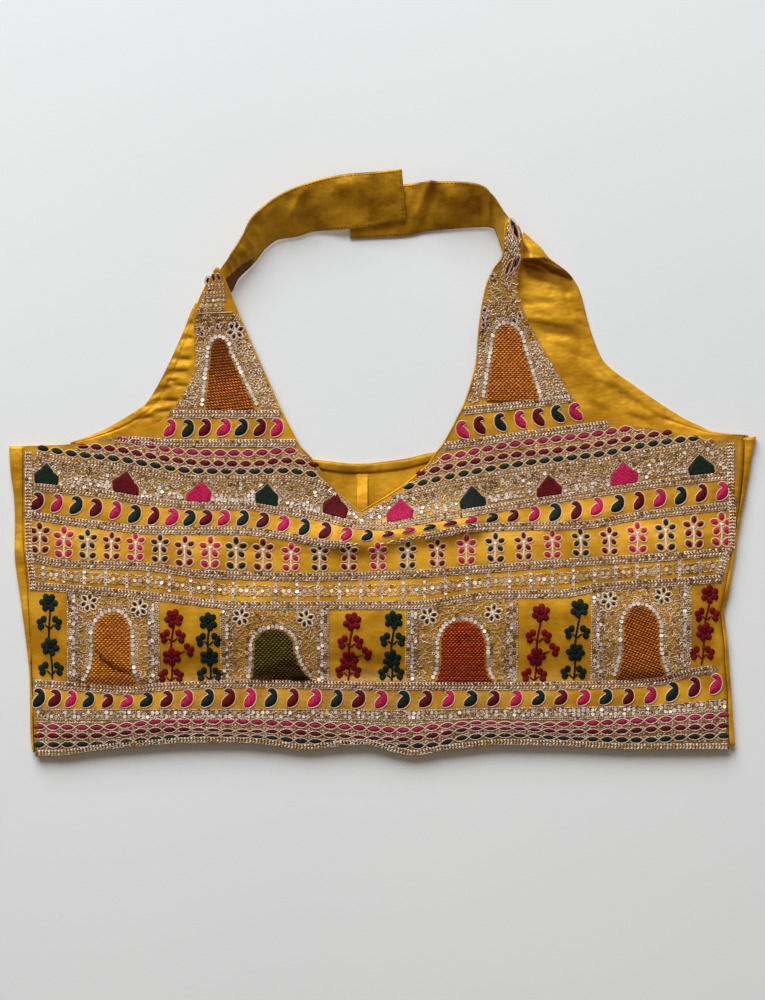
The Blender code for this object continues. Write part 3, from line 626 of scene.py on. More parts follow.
def surface(x, y):
    """Top of the front above the table: flat cloth, folds, creases, swelling and risen arms."""
    rise = np.where(x < CENTRE_X, column_at(ARM_RISE, 1, y), column_at(ARM_RISE, 2, y))
    return FACE_REST + fold_height(x, y) + rise - crease_depth(x, y) + puff(x, y) + billow(x, y)


def crinkle_depth(x, y, crinkles):
    """Sum of short troughs that run across, each turned by a slope: a bell in both directions,
    steep on its upper side and gentle below."""
    depth = 0
    for middle_x, middle_y, length, deep, half_width, slope in crinkles:
        sideways = (x - middle_x) / (length / 2)
        off = (y - middle_y - slope * (x - middle_x)) / half_width
        depth = depth + deep * np.exp(-(sideways**4)) * bell(off, np.where(off > 0, *CRINKLE_SIDES))
    return depth


# ---------------------------------------------------------------- meshes
def grid_faces(rows, columns):
    """Quads of a grid of points, wound so that a grid with x along columns and y along rows
    faces up."""
    ids = np.arange(rows * columns).reshape(rows, columns)
    corners = (ids[:-1, :-1], ids[:-1, 1:], ids[1:, 1:], ids[1:, :-1])
    return np.stack(corners, axis=-1).reshape(-1, 4)


def mesh_piece(name, points, faces, material, dyes=None, smooth_shading=True):
    """An object from points in millimetres and equal-sided faces, with a dye, or a share of cover and painted
    shade, for each point."""
    mesh = bpy.data.meshes.new(name)
    count, sides = faces.shape
    mesh.vertices.add(len(points))
    mesh.vertices.foreach_set("co", (points * MM).astype(np.float32).ravel())
    mesh.loops.add(faces.size)
    mesh.loops.foreach_set("vertex_index", faces.astype(np.int32).ravel())
    mesh.polygons.add(count)
    mesh.polygons.foreach_set("loop_start", np.arange(0, faces.size, sides, dtype=np.int32))
    mesh.polygons.foreach_set("use_smooth", np.full(count, smooth_shading))
    if dyes is not None:
        kinds = ("cover_and_shade", "FLOAT", "value") if dyes.ndim == 1 else ("dye", "FLOAT_COLOR", "color")
        attribute = mesh.attributes.new(kinds[0], kinds[1], "POINT")
        values = dyes if dyes.ndim == 1 else np.insert(dyes, 3, 1, axis=1)
        attribute.data.foreach_set(kinds[2], values.astype(np.float32).ravel())
    mesh.update(calc_edges=True)
    mesh.validate()
    mesh.materials.append(material)
    piece = bpy.data.objects.new(name, mesh)
    bpy.context.scene.collection.objects.link(piece)
    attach(piece, "root")
    return piece


def join_patches(patches):
    """One mesh from grids that share their edges: equal points become one."""
    points, faces, count = [], [], 0
    for patch in patches:
        points.append(patch.reshape(-1, 3))
        faces.append(grid_faces(*patch.shape[:2]) + count)
        count += len(points[-1])
    points, faces = np.concatenate(points), np.concatenate(faces)
    _, first, same = np.unique(np.round(points, 2), axis=0, return_index=True, return_inverse=True)
    return points[first], same.reshape(-1)[faces]


def shell_down(points, faces, wall):
    """Closes a height field into cloth: a copy straight below by the wall, and a strip of
    faces along each edge that only one face has."""
    count = len(points)
    edges = np.concatenate([faces[:, [i, (i + 1) % 4]] for i in range(4)])
    forward = edges[:, 0] * count + edges[:, 1]
    backward = edges[:, 1] * count + edges[:, 0]
    rim = edges[~np.isin(forward, backward)]
    sides = np.stack((rim[:, 1], rim[:, 0], rim[:, 0] + count, rim[:, 1] + count), axis=-1)
    below = points - np.array((0, 0, wall))
    closed = np.concatenate((faces, faces[:, ::-1] + count, sides))
    return np.concatenate((points, below)), closed


class Work:
    """Embroidery of one kind: triangles of many small closed bodies, with a dye for each."""

    def __init__(self):
        self.points, self.faces, self.dyes, self.count = [], [], [], 0

    def add(self, points, faces, dye):
        """points is (bodies, points, 3), faces is those of one body, and dye is one for all,
        one for each body, or one for each point of it."""
        bodies, each = points.shape[:2]
        starts = self.count + each * np.arange(bodies)
        self.points.append(points.reshape(-1, 3))
        self.faces.append((faces[None] + starts[:, None, None]).reshape(-1, 3))
        dye = np.asarray(dye, float)
        dye = dye[:, None] if dye.ndim == 2 else dye
        self.dyes.append(np.broadcast_to(dye, (bodies, each, 3)).reshape(-1, 3))
        self.count += bodies * each

    def lay(self, body, dye):
        """One body, (points, faces), that is laid out flat in its place, on the front."""
        self.add(on_front(body[0][None]), body[1], dye)

    def piece(self, name, material, smooth_shading=True):
        """The whole work as one object."""
        return mesh_piece(
            name, np.concatenate(self.points), np.concatenate(self.faces), material,
            np.concatenate(self.dyes), smooth_shading,
        )


# ---------------------------------------------------------------- stitches and small bodies
def wall_faces(a, b, c, d):
    """Two triangles for each four corners."""
    halves = (np.stack((a, b, c), -1).reshape(-1, 3), np.stack((a, c, d), -1).reshape(-1, 3))
    return np.concatenate(halves)


def body_faces(rings, each):
    """Triangles of a closed body: a first tip, rings of points one after another, a last tip."""
    ids = 1 + np.arange(rings * each).reshape(rings, each)
    beside = np.roll(ids, -1, axis=1)
    walls = wall_faces(ids[:-1], beside[:-1], beside[1:], ids[1:])
    first = np.stack((np.zeros_like(ids[0]), beside[0], ids[0]), axis=-1)
    last = np.stack((np.full_like(ids[0], rings * each + 1), ids[-1], beside[-1]), axis=-1)
    return np.concatenate((walls, first, last))


def loop_faces(rings, each):
    """Triangles of a closed loop of rings."""
    ids = np.arange(rings * each).reshape(rings, each)
    beside = np.roll(ids, -1, axis=1)
    return wall_faces(ids, beside, np.roll(beside, -1, axis=0), np.roll(ids, -1, axis=0))


def leftward(path, closed=False):
    """Unit vectors to the left of a path: its direction, from each point's neighbours, turned."""
    if closed:
        ahead = np.roll(path, -1, axis=0) - np.roll(path, 1, axis=0)
    else:
        ahead = np.gradient(path, axis=0)
    ahead = ahead / np.maximum(np.linalg.norm(ahead, axis=-1, keepdims=True), 1e-9)
    return flat(-ahead[:, 1], ahead[:, 0])


def raised(left, right, height, shares=(0, 0.5, 1), rise=(0, 1, 0), blunt=False):
    """A closed low body between two edge lines from one tip to the other. Across it, the height
    follows rise at the given shares of its width. A blunt one has its whole width at its start."""
    if blunt:
        left = np.concatenate(((left[:1] + right[:1]) / 2, left))
        right = np.concatenate((left[:1], right))
    share = np.array(shares)[:, None]
    rings = left[1:-1, None] * (1 - share) + right[1:-1, None] * share
    level = np.broadcast_to(SUNK + (height - SUNK) * np.array(rise), rings.shape[:2])
    rings = np.concatenate((rings, level[..., None]), axis=-1).reshape(-1, 3)
    tips = np.append((left[[0, -1]] + right[[0, -1]]) / 2, ((SUNK,), (SUNK,)), axis=1)
    points = np.concatenate((tips[:1], rings, tips[1:]))
    return points, body_faces(len(left) - 2, len(shares))


def twisted(count, width, twist):
    """Half-widths of a thread, thick and thin in turn."""
    return width / 2 * (1 - twist * (np.arange(count) % 2))[:, None]


def thread_body(path, width, height, twist=THREAD_TWIST):
    """A thread of triangular section along a path."""
    beside = leftward(path) * twisted(len(path), width, twist)
    return raised(path + beside, path - beside, height)


def loop_body(outline, width, height, twist=THREAD_TWIST):
    """A closed thread of triangular section round an outline."""
    beside = leftward(outline, True) * twisted(len(outline), width, twist)
    rings = np.stack((outline + beside, outline, outline - beside), axis=1)
    level = np.broadcast_to((SUNK, height, SUNK), rings.shape[:2])
    points = np.concatenate((rings, level[..., None]), axis=-1).reshape(-1, 3)
    return points, loop_faces(len(outline), 3)


def place(template, at, turn, size):
    """Copies of a flat-laid body: each is scaled, turned about the upright and moved."""
    scaled = template * np.broadcast_to(size, (len(at), 3))[:, None]
    cos, sin = (np.broadcast_to(wave(turn), len(at))[:, None] for wave in (np.cos, np.sin))
    x, y, z = np.moveaxis(scaled, -1, 0)
    return np.stack((at[:, :1] + x * cos - y * sin, at[:, 1:2] + x * sin + y * cos, z), axis=-1)


def on_front(points):
    """Flat-laid points raised onto the front's folds."""
    risen = points.copy()
    risen[..., 2] += surface(points[..., 0], points[..., 1])
    return risen


def stamp(work, body, at, turn, size, dye):
    """Copies of a body, (points, faces), on the front."""
    if len(at):
        work.add(on_front(place(body[0], np.asarray(at, float), turn, size)), body[1], dye)


def ellipse(steps, half_wide=1.0, half_tall=1.0):
    """Points of an ellipse, anticlockwise."""
    return heading(np.arange(steps) / steps * 2 * np.pi) * (half_wide, half_tall)


def lens(length, width, steps=5, power=0.6):
    """Two edges of a lens that points along +X: half the width times (1 - t squared) to a power
    below 1, with t from -1 to 1 along it."""
    t = np.linspace(-1, 1, steps)
    half = width / 2 * (1 - t**2) ** power
    return flat(t * length / 2, half), flat(t * length / 2, -half)


def paced(path, pitch):
    """Points at an even pitch along a path, and the direction of the path there."""
    path = np.asarray(path, float)
    step = np.diff(path, axis=0)
    run = np.concatenate(((0,), np.cumsum(np.hypot(*step.T))))
    count = max(4, round(run[-1] / pitch))
    at = (np.arange(count) + 0.5) * run[-1] / count
    low = np.clip(np.searchsorted(run, at) - 1, 0, len(step) - 1)
    points = np.stack([np.interp(at, run, column) for column in path.T], axis=-1)
    return points, np.arctan2(step[low, 1], step[low, 0])


def row_path(table, lift=0.0, left=None, right=None, step=1.2):
    """A row across the body as a path, between two places across, moved up by lift."""
    start = table[0][0] if left is None else left
    end = table[-1][0] if right is None else right
    x = np.linspace(start, end, max(3, round((end - start) / step)))
    return flat(x, smooth(table, x) + lift)


def inside(points, outline):
    """Which points an outline encloses: a line to the right from such a point crosses the
    outline an odd number of times."""
    x, y = points[:, :1], points[:, 1:2]
    x0, y0 = outline.T
    x1, y1 = np.roll(outline, -1, axis=0).T
    crosses = (y0 > y) != (y1 > y)
    rise = np.where(y1 == y0, 1, y1 - y0)
    return (crosses & (x < x0 + (y - y0) * (x1 - x0) / rise)).sum(axis=1) % 2 == 1


def clear_of(at, outlines, swell=1.0):
    """Which points lie outside every outline, each grown about its middle."""
    clear = np.ones(len(at), bool)
    for outline in outlines:
        middle = outline.mean(axis=0)
        clear &= ~inside(at, middle + (outline - middle) * swell)
    return clear


def above(at, line):
    """How far above a line across the body places lie."""
    return at[:, 1] - smooth(line, at[:, 0])


def shaken(at, far):
    """Places, each moved a little at random."""
    return at + CHANCE.uniform(-far, far, at.shape)


def lattice(left, right, low, high, pitch, jitter):
    """A hexagonal lattice over a rectangle, each point of it shifted a little at random."""
    column = np.arange(left, right, pitch)
    row = np.arange(low, high, pitch * ROW_STEP)
    x, y = np.meshgrid(column, row)
    x = x + pitch / 2 * (np.arange(len(row)) % 2)[:, None]
    return shaken(flat(x.ravel(), y.ravel()), jitter)


def filling(region, keep_out, pitch, jitter):
    """The points of a lattice that lie in a region and clear of what is kept out."""
    low, high = region.min(axis=0), region.max(axis=0)
    at = lattice(low[0], high[0], low[1], high[1], pitch, jitter)
    return at[inside(at, region) & clear_of(at, keep_out)]


def work_edge():
    """The outline of what is embroidered, anticlockwise: down the left seam, along the hem, up
    the right, and along both arms."""
    left, right = flowing_rows(LEFT_ARM, 90), flowing_rows(RIGHT_ARM, 90)
    down, up = np.linspace(-30, -174, 60), np.linspace(-171, -26, 60)
    hem = np.linspace(-207, 207, 150)
    outline = np.concatenate((
        flat(side_line(2, down) + SIDE_GAP - 0.5, down), flat(hem, smooth(HEM, hem) - 0.9),
        flat(smooth(WORK_RIGHT, up) + WORK_INSET, up),
        np.minimum(right[:, 2:], (smooth(WORK_RIGHT, 10) + WORK_INSET, 999)),
        right[::-1, :2], left[:, 2:], left[::-1, :2],
    ))
    return outline + leftward(outline, True) * WORK_INSET


WORK_EDGE = work_edge()


def metal_dyes(count, shares):
    """Dyes of metal thread: shares of it are white, brown and golden, and the rest is beige."""
    white, brown, golden = shares
    pick = CHANCE.random((count, 1))
    dye = np.where(pick < brown, METAL_BROWN, METAL_BEIGE)
    dye = np.where((pick >= brown) & (pick < brown + golden), METAL_GOLD, dye)
    return np.where(pick > 1 - white, METAL_WHITE, dye) * CHANCE.uniform(0.72, 1.15, (count, 1))


def scatter(work, body, at, turn, size, shares=PALE_MIX, spread=(0.88, 1.1)):
    """Copies of a body of metal thread where the embroidery goes, each in a dye and a size of
    its own. A pair of angles as the turn stands for any direction between them."""
    if isinstance(turn, tuple):
        turn = CHANCE.uniform(*turn, len(at))
    kept = inside(at, WORK_EDGE)
    at, turn = at[kept], np.broadcast_to(turn, len(kept))[kept]
    size = np.broadcast_to(size, (len(at), 3)) * CHANCE.uniform(*spread, (len(at), 1))
    stamp(work, body, at, turn, size, metal_dyes(len(at), shares))


def stitches(work, at, turn, size, shares=PALE_MIX):
    """Single stitches of metal thread: size is their length, width and height."""
    scatter(work, GRAIN, at, turn, size, shares, (0.85, 1.15))


def thread(work, path, width, height, dye=None):
    """One thread laid along a path on the front, as far as the embroidery goes."""
    path = path[inside(path, WORK_EDGE)]
    if len(path) < 2:
        return
    body = thread_body(paced(path, THREAD_PITCH)[0], width, height)
    work.lay(body, METAL_PALE * CHANCE.uniform(0.85, 1.05) if dye is None else dye)


def braid(work, path, width=BRAID, shares=ROPE_MIX):
    """A herringbone braid: two rows of slanted stitches that lean towards each other, and a row
    of short stitches along each edge."""
    at, turn = paced(path[inside(path, WORK_EDGE)], BRAID_PITCH)
    beside = heading(turn)[:, ::-1] * (-width, width)
    slanted, edge = (width * 0.54, 0.98, 1.0), (2.1, 0.72, 0.65)
    for offset, lean, jitter, size in (
        (0.21, -0.95, 0.12, slanted), (-0.21, 0.95, 0.12, slanted),
        (0.46, 0, 0.14, edge), (-0.46, 0, 0.14, edge),
    ):
        sway = CHANCE.uniform(-jitter, jitter, turn.shape)
        stitches(work, at + beside * offset, turn + lean + sway, size, shares)


GRAIN = (
    np.array((
        (-0.5, 0, 0.1), (-0.25, 0.5, -0.3), (-0.25, 0.26, 1), (-0.25, -0.26, 1), (-0.25, -0.5, -0.3),
        (0.25, 0.5, -0.3), (0.25, 0.26, 1), (0.25, -0.26, 1), (0.25, -0.5, -0.3), (0.5, 0, 0.1),
    )),
    body_faces(2, 4),
)


# ---------------------------------------------------------------- motifs
def petal(length, width, height=0.55):
    """A floss petal that points along +X from its foot at 0."""
    left, right = (edge + (length / 2, 0) for edge in lens(length, width))
    return raised(left, right, height, (0, 0.3, 0.7, 1), (0, 1, 1, 0))


def petal_loop(length, width, thick, height, steps=10):
    """The thread round a petal, which starts at the petal's foot."""
    return loop_body(ellipse(steps, length / 2, width / 2) + (length / 2, 0), thick, height)


def fat_petal(length, width, height):
    """A petal of thick floss loops: raised along both edges, with a groove down its middle."""
    left, right = (edge + (length / 2, 0) for edge in lens(length, width, 6, 0.45))
    return raised(left, right, height, (0, 0.22, 0.5, 0.78, 1), (0.2, 1, 0.45, 1, 0.2))


def bent(points, width):
    """A short curved thread through a few points."""
    return thread_body(flowing_rows(points, 6), width, 0.6, 0.3)


def paisley(tall, mirrored):
    """Fill and outline of a paisley: half-widths either side of a curved spine."""
    x, y, half = flowing_rows(PAISLEY_SPINE, 16).T * tall
    spine = flat(x * (-1 if mirrored else 1), y)
    beside, half = leftward(spine), half[:, None]
    fill = raised(
        spine + beside * half, spine - beside * half, 0.5, (0, 0.08, 0.5, 0.92, 1), (0, 1, 1, 1, 0)
    )
    left, right = spine + beside * (half + PAISLEY_RIM), spine - beside * (half + PAISLEY_RIM)
    return fill, loop_body(np.concatenate((right, left[-2:0:-1])), 0.85, 0.7)


def dyes_of(names):
    """One row of colour for each name of a dye."""
    return np.array([DYES[name] for name in names])


def paisley_row(floss, outlines, at, room, names, mirrored=False):
    """Paisleys at flat places, each in its own dye and as tall as its room, with a pale thread
    round it."""
    fill, outline = paisley(10.3, mirrored)
    count = len(at)
    turn = CHANCE.uniform(-0.12, 0.12, count)
    size = np.stack((CHANCE.uniform(0.84, 1.02, count), room / 10.6, np.ones(count)), -1)
    stamp(floss, fill, at, turn, size, dyes_of(names) * CHANCE.uniform(0.8, 1.2, (count, 1)))
    stamp(outlines, outline, at, turn, size, METAL_PALE * CHANCE.uniform(0.85, 1.08, (count, 1)))


def booti(floss, outlines, at, names, size):
    """Flowers on a stem: five petals round a knot, and a pair of leaves at the foot. Every
    petal has a pale thread round it."""
    colours = dyes_of(names)
    rims = METAL_PALE * 0.8 + colours * 0.36
    tall = size[:, None]
    scale = np.stack((size, size, np.ones_like(size)), -1)
    for x, y, way, length, width in BOOTI_PETALS:
        turn = way + CHANCE.uniform(-0.14, 0.14, len(at))
        start, ahead = at + np.array((x, y)) * tall, heading(way)
        stamp(floss, petal(length + 0.4, width + 0.45), start + ahead * 0.25 * tall, turn, scale, colours)
        loop = petal_loop(length + 1.4, width + 1.25, 0.88, 0.62)
        stamp(outlines, loop, start - ahead * 0.4 * tall, turn, scale, rims)
    stamp(outlines, KNOT, at + np.array((0, 2.4)) * tall, 0.0, (1.7, 1.7, 0.8), METAL_PALE)
    for root, reach in zip(at, size):
        stem = flat(CHANCE.uniform(-0.3, 0.3, 5), np.linspace(4.0, -8.8, 5) * reach)
        thread(outlines, root + stem, 2.0, 0.8)


def star(floss, outlines, sequins, at):
    """Six dark petals round a pale centre, each with a thick white thread round it."""
    fill, loop = petal(2.9, 1.9, 0.6), petal_loop(4.6, 3.3, 0.9, 0.65)
    at = np.asarray(at, float)
    white = METAL_WHITE * (0.97, 1.06, 1.2)
    for angle in np.arange(6) * np.pi / 3 + 0.3:
        turn = angle + CHANCE.uniform(-0.12, 0.12, len(at))
        stamp(floss, fill, at + heading(angle) * 1.9, turn, 1.0, DYES["navy"])
        stamp(outlines, loop, at + heading(angle) * 1.1, turn, 1.0, white)
    stamp(outlines, KNOT, at, 0.0, (1.2, 1.2, 0.8), white)
    spangles(sequins, at, 0.6, 0.55)


def sprig(floss, top_x, foot_x, shares, side_leaf, name, top, foot):
    """A stem with two flowers and two pairs of three-lobed leaves, in thick raised floss."""
    bloom, lobe = fat_petal(5.7, 4.1, 1.1), fat_petal(5.0, 3.9, 1.0)
    colour = np.array(DYES[name])

    def spot(share, shift=0.0):
        """The place a share of the way down the stem's line, moved sideways."""
        return np.array((top_x + (foot_x - top_x) * share + shift, top - (top - foot) * share))

    stem = np.array([spot(share, 0.7 * np.sin(share * 9)) for share in np.linspace(0.1, 1.0, 12)])
    floss.lay(thread_body(paced(stem, 1.0)[0], 1.9, 1.0), colour * 0.9)
    upper_flower, lower_flower, upper_leaf, lower_leaf = shares
    for share in (upper_flower, lower_flower):
        angles = np.arange(6) * np.pi / 3 + CHANCE.uniform(0.2, 1.3)
        at = spot(share) + heading(angles) * 0.5
        shades = colour * CHANCE.uniform(0.8, 1.3, (6, 1))
        stamp(floss, bloom, at, angles + CHANCE.uniform(-0.15, 0.15, 6), 1.0, shades)
        stamp(floss, KNOT, spot(share)[None], 0.0, (1.4, 1.4, 1.5), colour * 0.55)
    leaves = [(share, side) for share in (upper_leaf, lower_leaf) for side in (-3.4, 3.4)]
    if side_leaf:
        leaves.append((lower_flower - 0.08, 9.0))
    for share, side in leaves:
        heart = spot(share, side)
        stalk = np.linspace(spot(share + 0.07, -0.1 * side), heart, 5)
        floss.lay(thread_body(stalk, 1.5, 0.9), colour * 0.9)
        angles = (0.35 if side > 0 else np.pi - 0.35) + np.array((-1.2, 0.0, 1.2))
        shades = colour * CHANCE.uniform(0.8, 1.3, (3, 1))
        stamp(floss, lobe, np.repeat(heart[None], 3, axis=0), angles, 1.0, shades)


def arch_edges(arch, steps=16):
    """Left and right edges of an arch from its foot up to its apex: sides that flare out at the
    foot by a power of the height, and a quarter of an ellipse on each side of the apex."""
    apex_x, apex_y, shoulder_y, left, right, foot_y, foot_left, foot_right, flare, _ = arch
    up = np.linspace(0, 1, steps)
    turn = np.linspace(0, np.pi / 2, steps)[1:]
    y = foot_y + (shoulder_y - foot_y) * up
    crown_y = shoulder_y + (apex_y - shoulder_y) * np.sin(turn)
    edges = []
    for side, foot in ((left, foot_left), (right, foot_right)):
        x = side + (foot - side) * (1 - up) ** flare
        crown_x = apex_x + (side - apex_x) * np.cos(turn)
        edges.append(flat(np.append(x, crown_x), np.append(y, crown_y)))
    return edges


def arch_outline(arch, margin=0.0):
    """The closed outline of an arch, with a margin round it."""
    left, right = arch_edges(arch)
    outline = np.concatenate((right, left[-2::-1]))
    return outline - leftward(outline, True) * margin


def weave(work, arch):
    """A woven patch: a ground, and on it a chequerboard of broad bright stitches and dark gaps, whose painted
    shade changes from the foot to the apex, and which is painted darker still inside FOLD_SHADE."""
    apex_y, foot_y, kind = arch[1], arch[5], arch[9]
    dark, bright, shades = WEAVES[kind]
    across, up, lean = WEAVE_STEPS[kind]
    shares = np.linspace(0, 1, 21)
    level = np.minimum(1, np.minimum(shares, 1 - shares) * 40)
    work.lay(raised(*arch_edges(arch), 0.2, shares, level, blunt=True), dark)
    column, row = (grid.ravel() for grid in np.meshgrid(np.arange(-40, 41), np.arange(-40, 41)))
    u, v = column * across, row * up
    turned = flat(u * np.cos(lean) - v * np.sin(lean), u * np.sin(lean) + v * np.cos(lean))
    at = arch_outline(arch).mean(axis=0) + turned
    kept = inside(at, arch_outline(arch, -0.35)) & ((column + row) % 2 == 0)
    at, row = shaken(at[kept], 0.08), row[kept]
    height = np.clip((at[:, 1:] - foot_y) / (apex_y - foot_y), 0, 1)
    shade = np.interp(height, (0, 0.3, 0.6, 1), shades) * CHANCE.uniform(0.72, 1.2, (len(at), 1))
    shade = np.where(inside(at, FOLD_SHADE)[:, None], shade * (0.62, 0.40, 0.45), shade)
    if kind == "banded":
        shade = shade * np.where(row % 3 == 0, 0.62, 1.0)[:, None]
    turn = lean + CHANCE.uniform(-0.1, 0.1, len(at))
    stamp(work, GRAIN, at, turn, (across * 1.75, up * 0.98, 0.8), np.array(bright) * shade)


def gable(work, metal, middle_x, wide, tall, lean, name):
    """A gable of floss: a base along the braid, uneven shoulders halfway up, and a blunt top
    that leans to one side, with a thin thread round it. Returns its outline."""
    foot = smooth(YOKE_BRAID, middle_x) + 2.3
    slope = (smooth(YOKE_BRAID, middle_x + 6) - smooth(YOKE_BRAID, middle_x - 6)) / 12
    edges = []
    for side, high in zip((-1, 1), CHANCE.uniform(0.33, 0.46, 2)):
        up = np.array((0, 0.07, high, high + 0.1, 0.72, 0.93, 1)) * tall
        half = wide * np.array((0.45, 0.49, 0.5, 0.42, 0.22, 0.06, 0.02))
        half = half * (1 + CHANCE.uniform(-0.05, 0.05, 7))
        x = middle_x + side * half + lean * np.array((0, 0, 0.3, 0.5, 0.8, 1, 1))
        edges.append(flat(x, foot + (x - middle_x) * slope + up))
    left, right = edges
    shares = (0, 0.05, 0.2, 0.35, 0.5, 0.65, 0.8, 0.95, 1)
    work.lay(raised(left, right, 0.5, shares, (0, 1, 1, 1, 1, 1, 1, 1, 0), blunt=True), DYES[name])
    outline = np.concatenate((right, left[::-1]))
    border = outline - leftward(outline, True) * 0.45
    rim = loop_body(paced(np.append(border, border[:1], 0), 1.1)[0], 0.6, 0.5)
    metal.lay(rim, METAL_PALE * 0.9)
    return outline


def ovals(floss, outlines, line, name, pitch=OVAL_PITCH, room=None):
    """Lens ovals in a row, between two threads that cross at their tips: each thread is the
    middle line plus or minus a sine wave that makes half a turn for each oval."""
    start, end = line[0][0], line[-1][0]
    count = round((end - start) / pitch)
    step = (end - start) / count
    middle = start + (np.arange(count) + 0.5) * step
    middle = middle + CHANCE.uniform(-0.25, 0.25, count)
    at = flat(middle, smooth(line, middle))
    kept = inside(at, WORK_EDGE)
    at, middle, kept = at[kept], middle[kept], int(kept.sum())
    turn = np.arctan((smooth(line, middle + 2) - smooth(line, middle - 2)) / 4)
    body = raised(*lens(step * 0.86, 1.0, 7, 0.62), 0.55, (0, 0.2, 0.8, 1), (0, 1, 1, 0))
    long = CHANCE.uniform(0.9, 1.06, kept)
    tall = (OVAL_TALL if room is None else smooth(room, middle)) * CHANCE.uniform(0.86, 1.05, kept)
    shade = CHANCE.uniform(0.8, 1.2, (kept, 1))
    stamp(floss, body, at, turn, np.stack((long, tall, np.ones(kept)), -1), np.array(OVAL_DYES[name]) * shade)
    x = np.linspace(start, end, count * 9 + 1)
    swing = (OVAL_TALL if room is None else smooth(room, x)) / 2 + 0.42
    sine = np.sin(np.pi * (x - start) / step)
    rim = METAL_PALE * 0.84 + np.array(DYES[name]) * 0.34
    for sign in (1, -1):
        wave = sign * swing * np.sign(sine) * np.abs(sine) ** 0.8
        thread(outlines, flat(x, smooth(line, x) + wave), 0.9, 0.75, rim)


def spangles(work, at, size=1.0, lift=0.3):
    """Sequins, each tipped a little its own way: its rim's height follows a plane."""
    at = at[inside(at, WORK_EDGE)]
    if not len(at):
        return
    size = size * CHANCE.uniform(0.85, 1.1, (len(at), 1))
    copies = place(SPANGLE[0], at, CHANCE.uniform(0, 1, len(at)), size)
    tip = CHANCE.normal(0, 0.16, (len(at), 1, 2))
    near = 0.5
    x, y = at[:, :1], at[:, 1:]
    ground = np.stack(
        [surface(x + dx, y + dy) - surface(x - dx, y - dy) for dx, dy in ((near, 0), (0, near))], axis=-1
    ) / (2 * near)
    leaning = ((copies[..., :2] - at[:, None]) * (tip + ground)).sum(axis=-1)
    copies[..., 2] += surface(x, y) + lift + leaning
    work.add(copies, SPANGLE[1], SPANGLE_DYES * CHANCE.uniform(0.6, 1.15, (len(at), 1, 1)))


RING = loop_body(ellipse(7, 0.85, 0.85), 0.66, 0.6, 0.0)
CURL = bent(((0.95, -0.75), (0.2, -1.1), (-0.9, -0.45), (-0.9, 0.55), (0.1, 1.1), (0.95, 0.65)), 0.76)
SQUIGGLE = bent(((-2.1, -0.6), (-1.1, 0.7), (0.0, 0.1), (1.1, -0.7), (2.1, 0.6)), 0.78)
KNOT = (
    np.concatenate((((0, 0, -0.2),), np.insert(ellipse(6), 2, 0.35, axis=1), ((0, 0, 0.9),))),
    body_faces(1, 6),
)
SPANGLE = (
    np.concatenate((
        ((0, 0, -0.2),), np.insert(ellipse(7, SEQUIN * 0.56, SEQUIN * 0.56), 2, 0.0, axis=1),
        np.insert(ellipse(7, SEQUIN * 0.45, SEQUIN * 0.45), 2, 0.16, axis=1), ((0, 0, 0.08),),
    )),
    body_faces(2, 7),
)
# Each sequin: painted shade at its rim, pale foil inward, and a touch paler at its middle
SPANGLE_DYES = np.array([SEQUIN_RIM_SHADE] * 8 + [FOIL] * 7 + [FOIL * 1.02])


# ---------------------------------------------------------------- embroidery, laid out
def band_region(upper, lower, left, right, top_lift=0.0, foot_lift=0.0):
    """The outline of the region between two rows, between two places across."""
    foot = row_path(lower, foot_lift, left, right, 3)
    top = row_path(upper, top_lift, left, right, 3)
    return np.concatenate((foot, top[::-1]))


def arm_region(table, armhole, neck, foot_y, top_y):
    """The outline of an arm between two heights."""
    edges = flowing_rows(table, 90)
    outer, inner = (
        edge[(edge[:, 1] > foot_y) & (edge[:, 1] < top_y)] for edge in (edges[:, armhole], edges[:, neck])
    )
    return np.concatenate((outer, inner[::-1]))


def rows_between(upper, lower, start, end, gap):
    """Heights of rows between two lines: for each row, how far down the band it runs, and a
    path across, from just under the upper line to just over the lower one."""
    x = np.arange(start, end, 1.0)
    top, foot = smooth(upper, x), smooth(lower, x)
    for number in range(int((top - foot).max() / gap) + 1):
        y = top - gap * number
        kept = y > foot
        if kept.sum() > 3:
            yield number, flat(x, y)[kept]


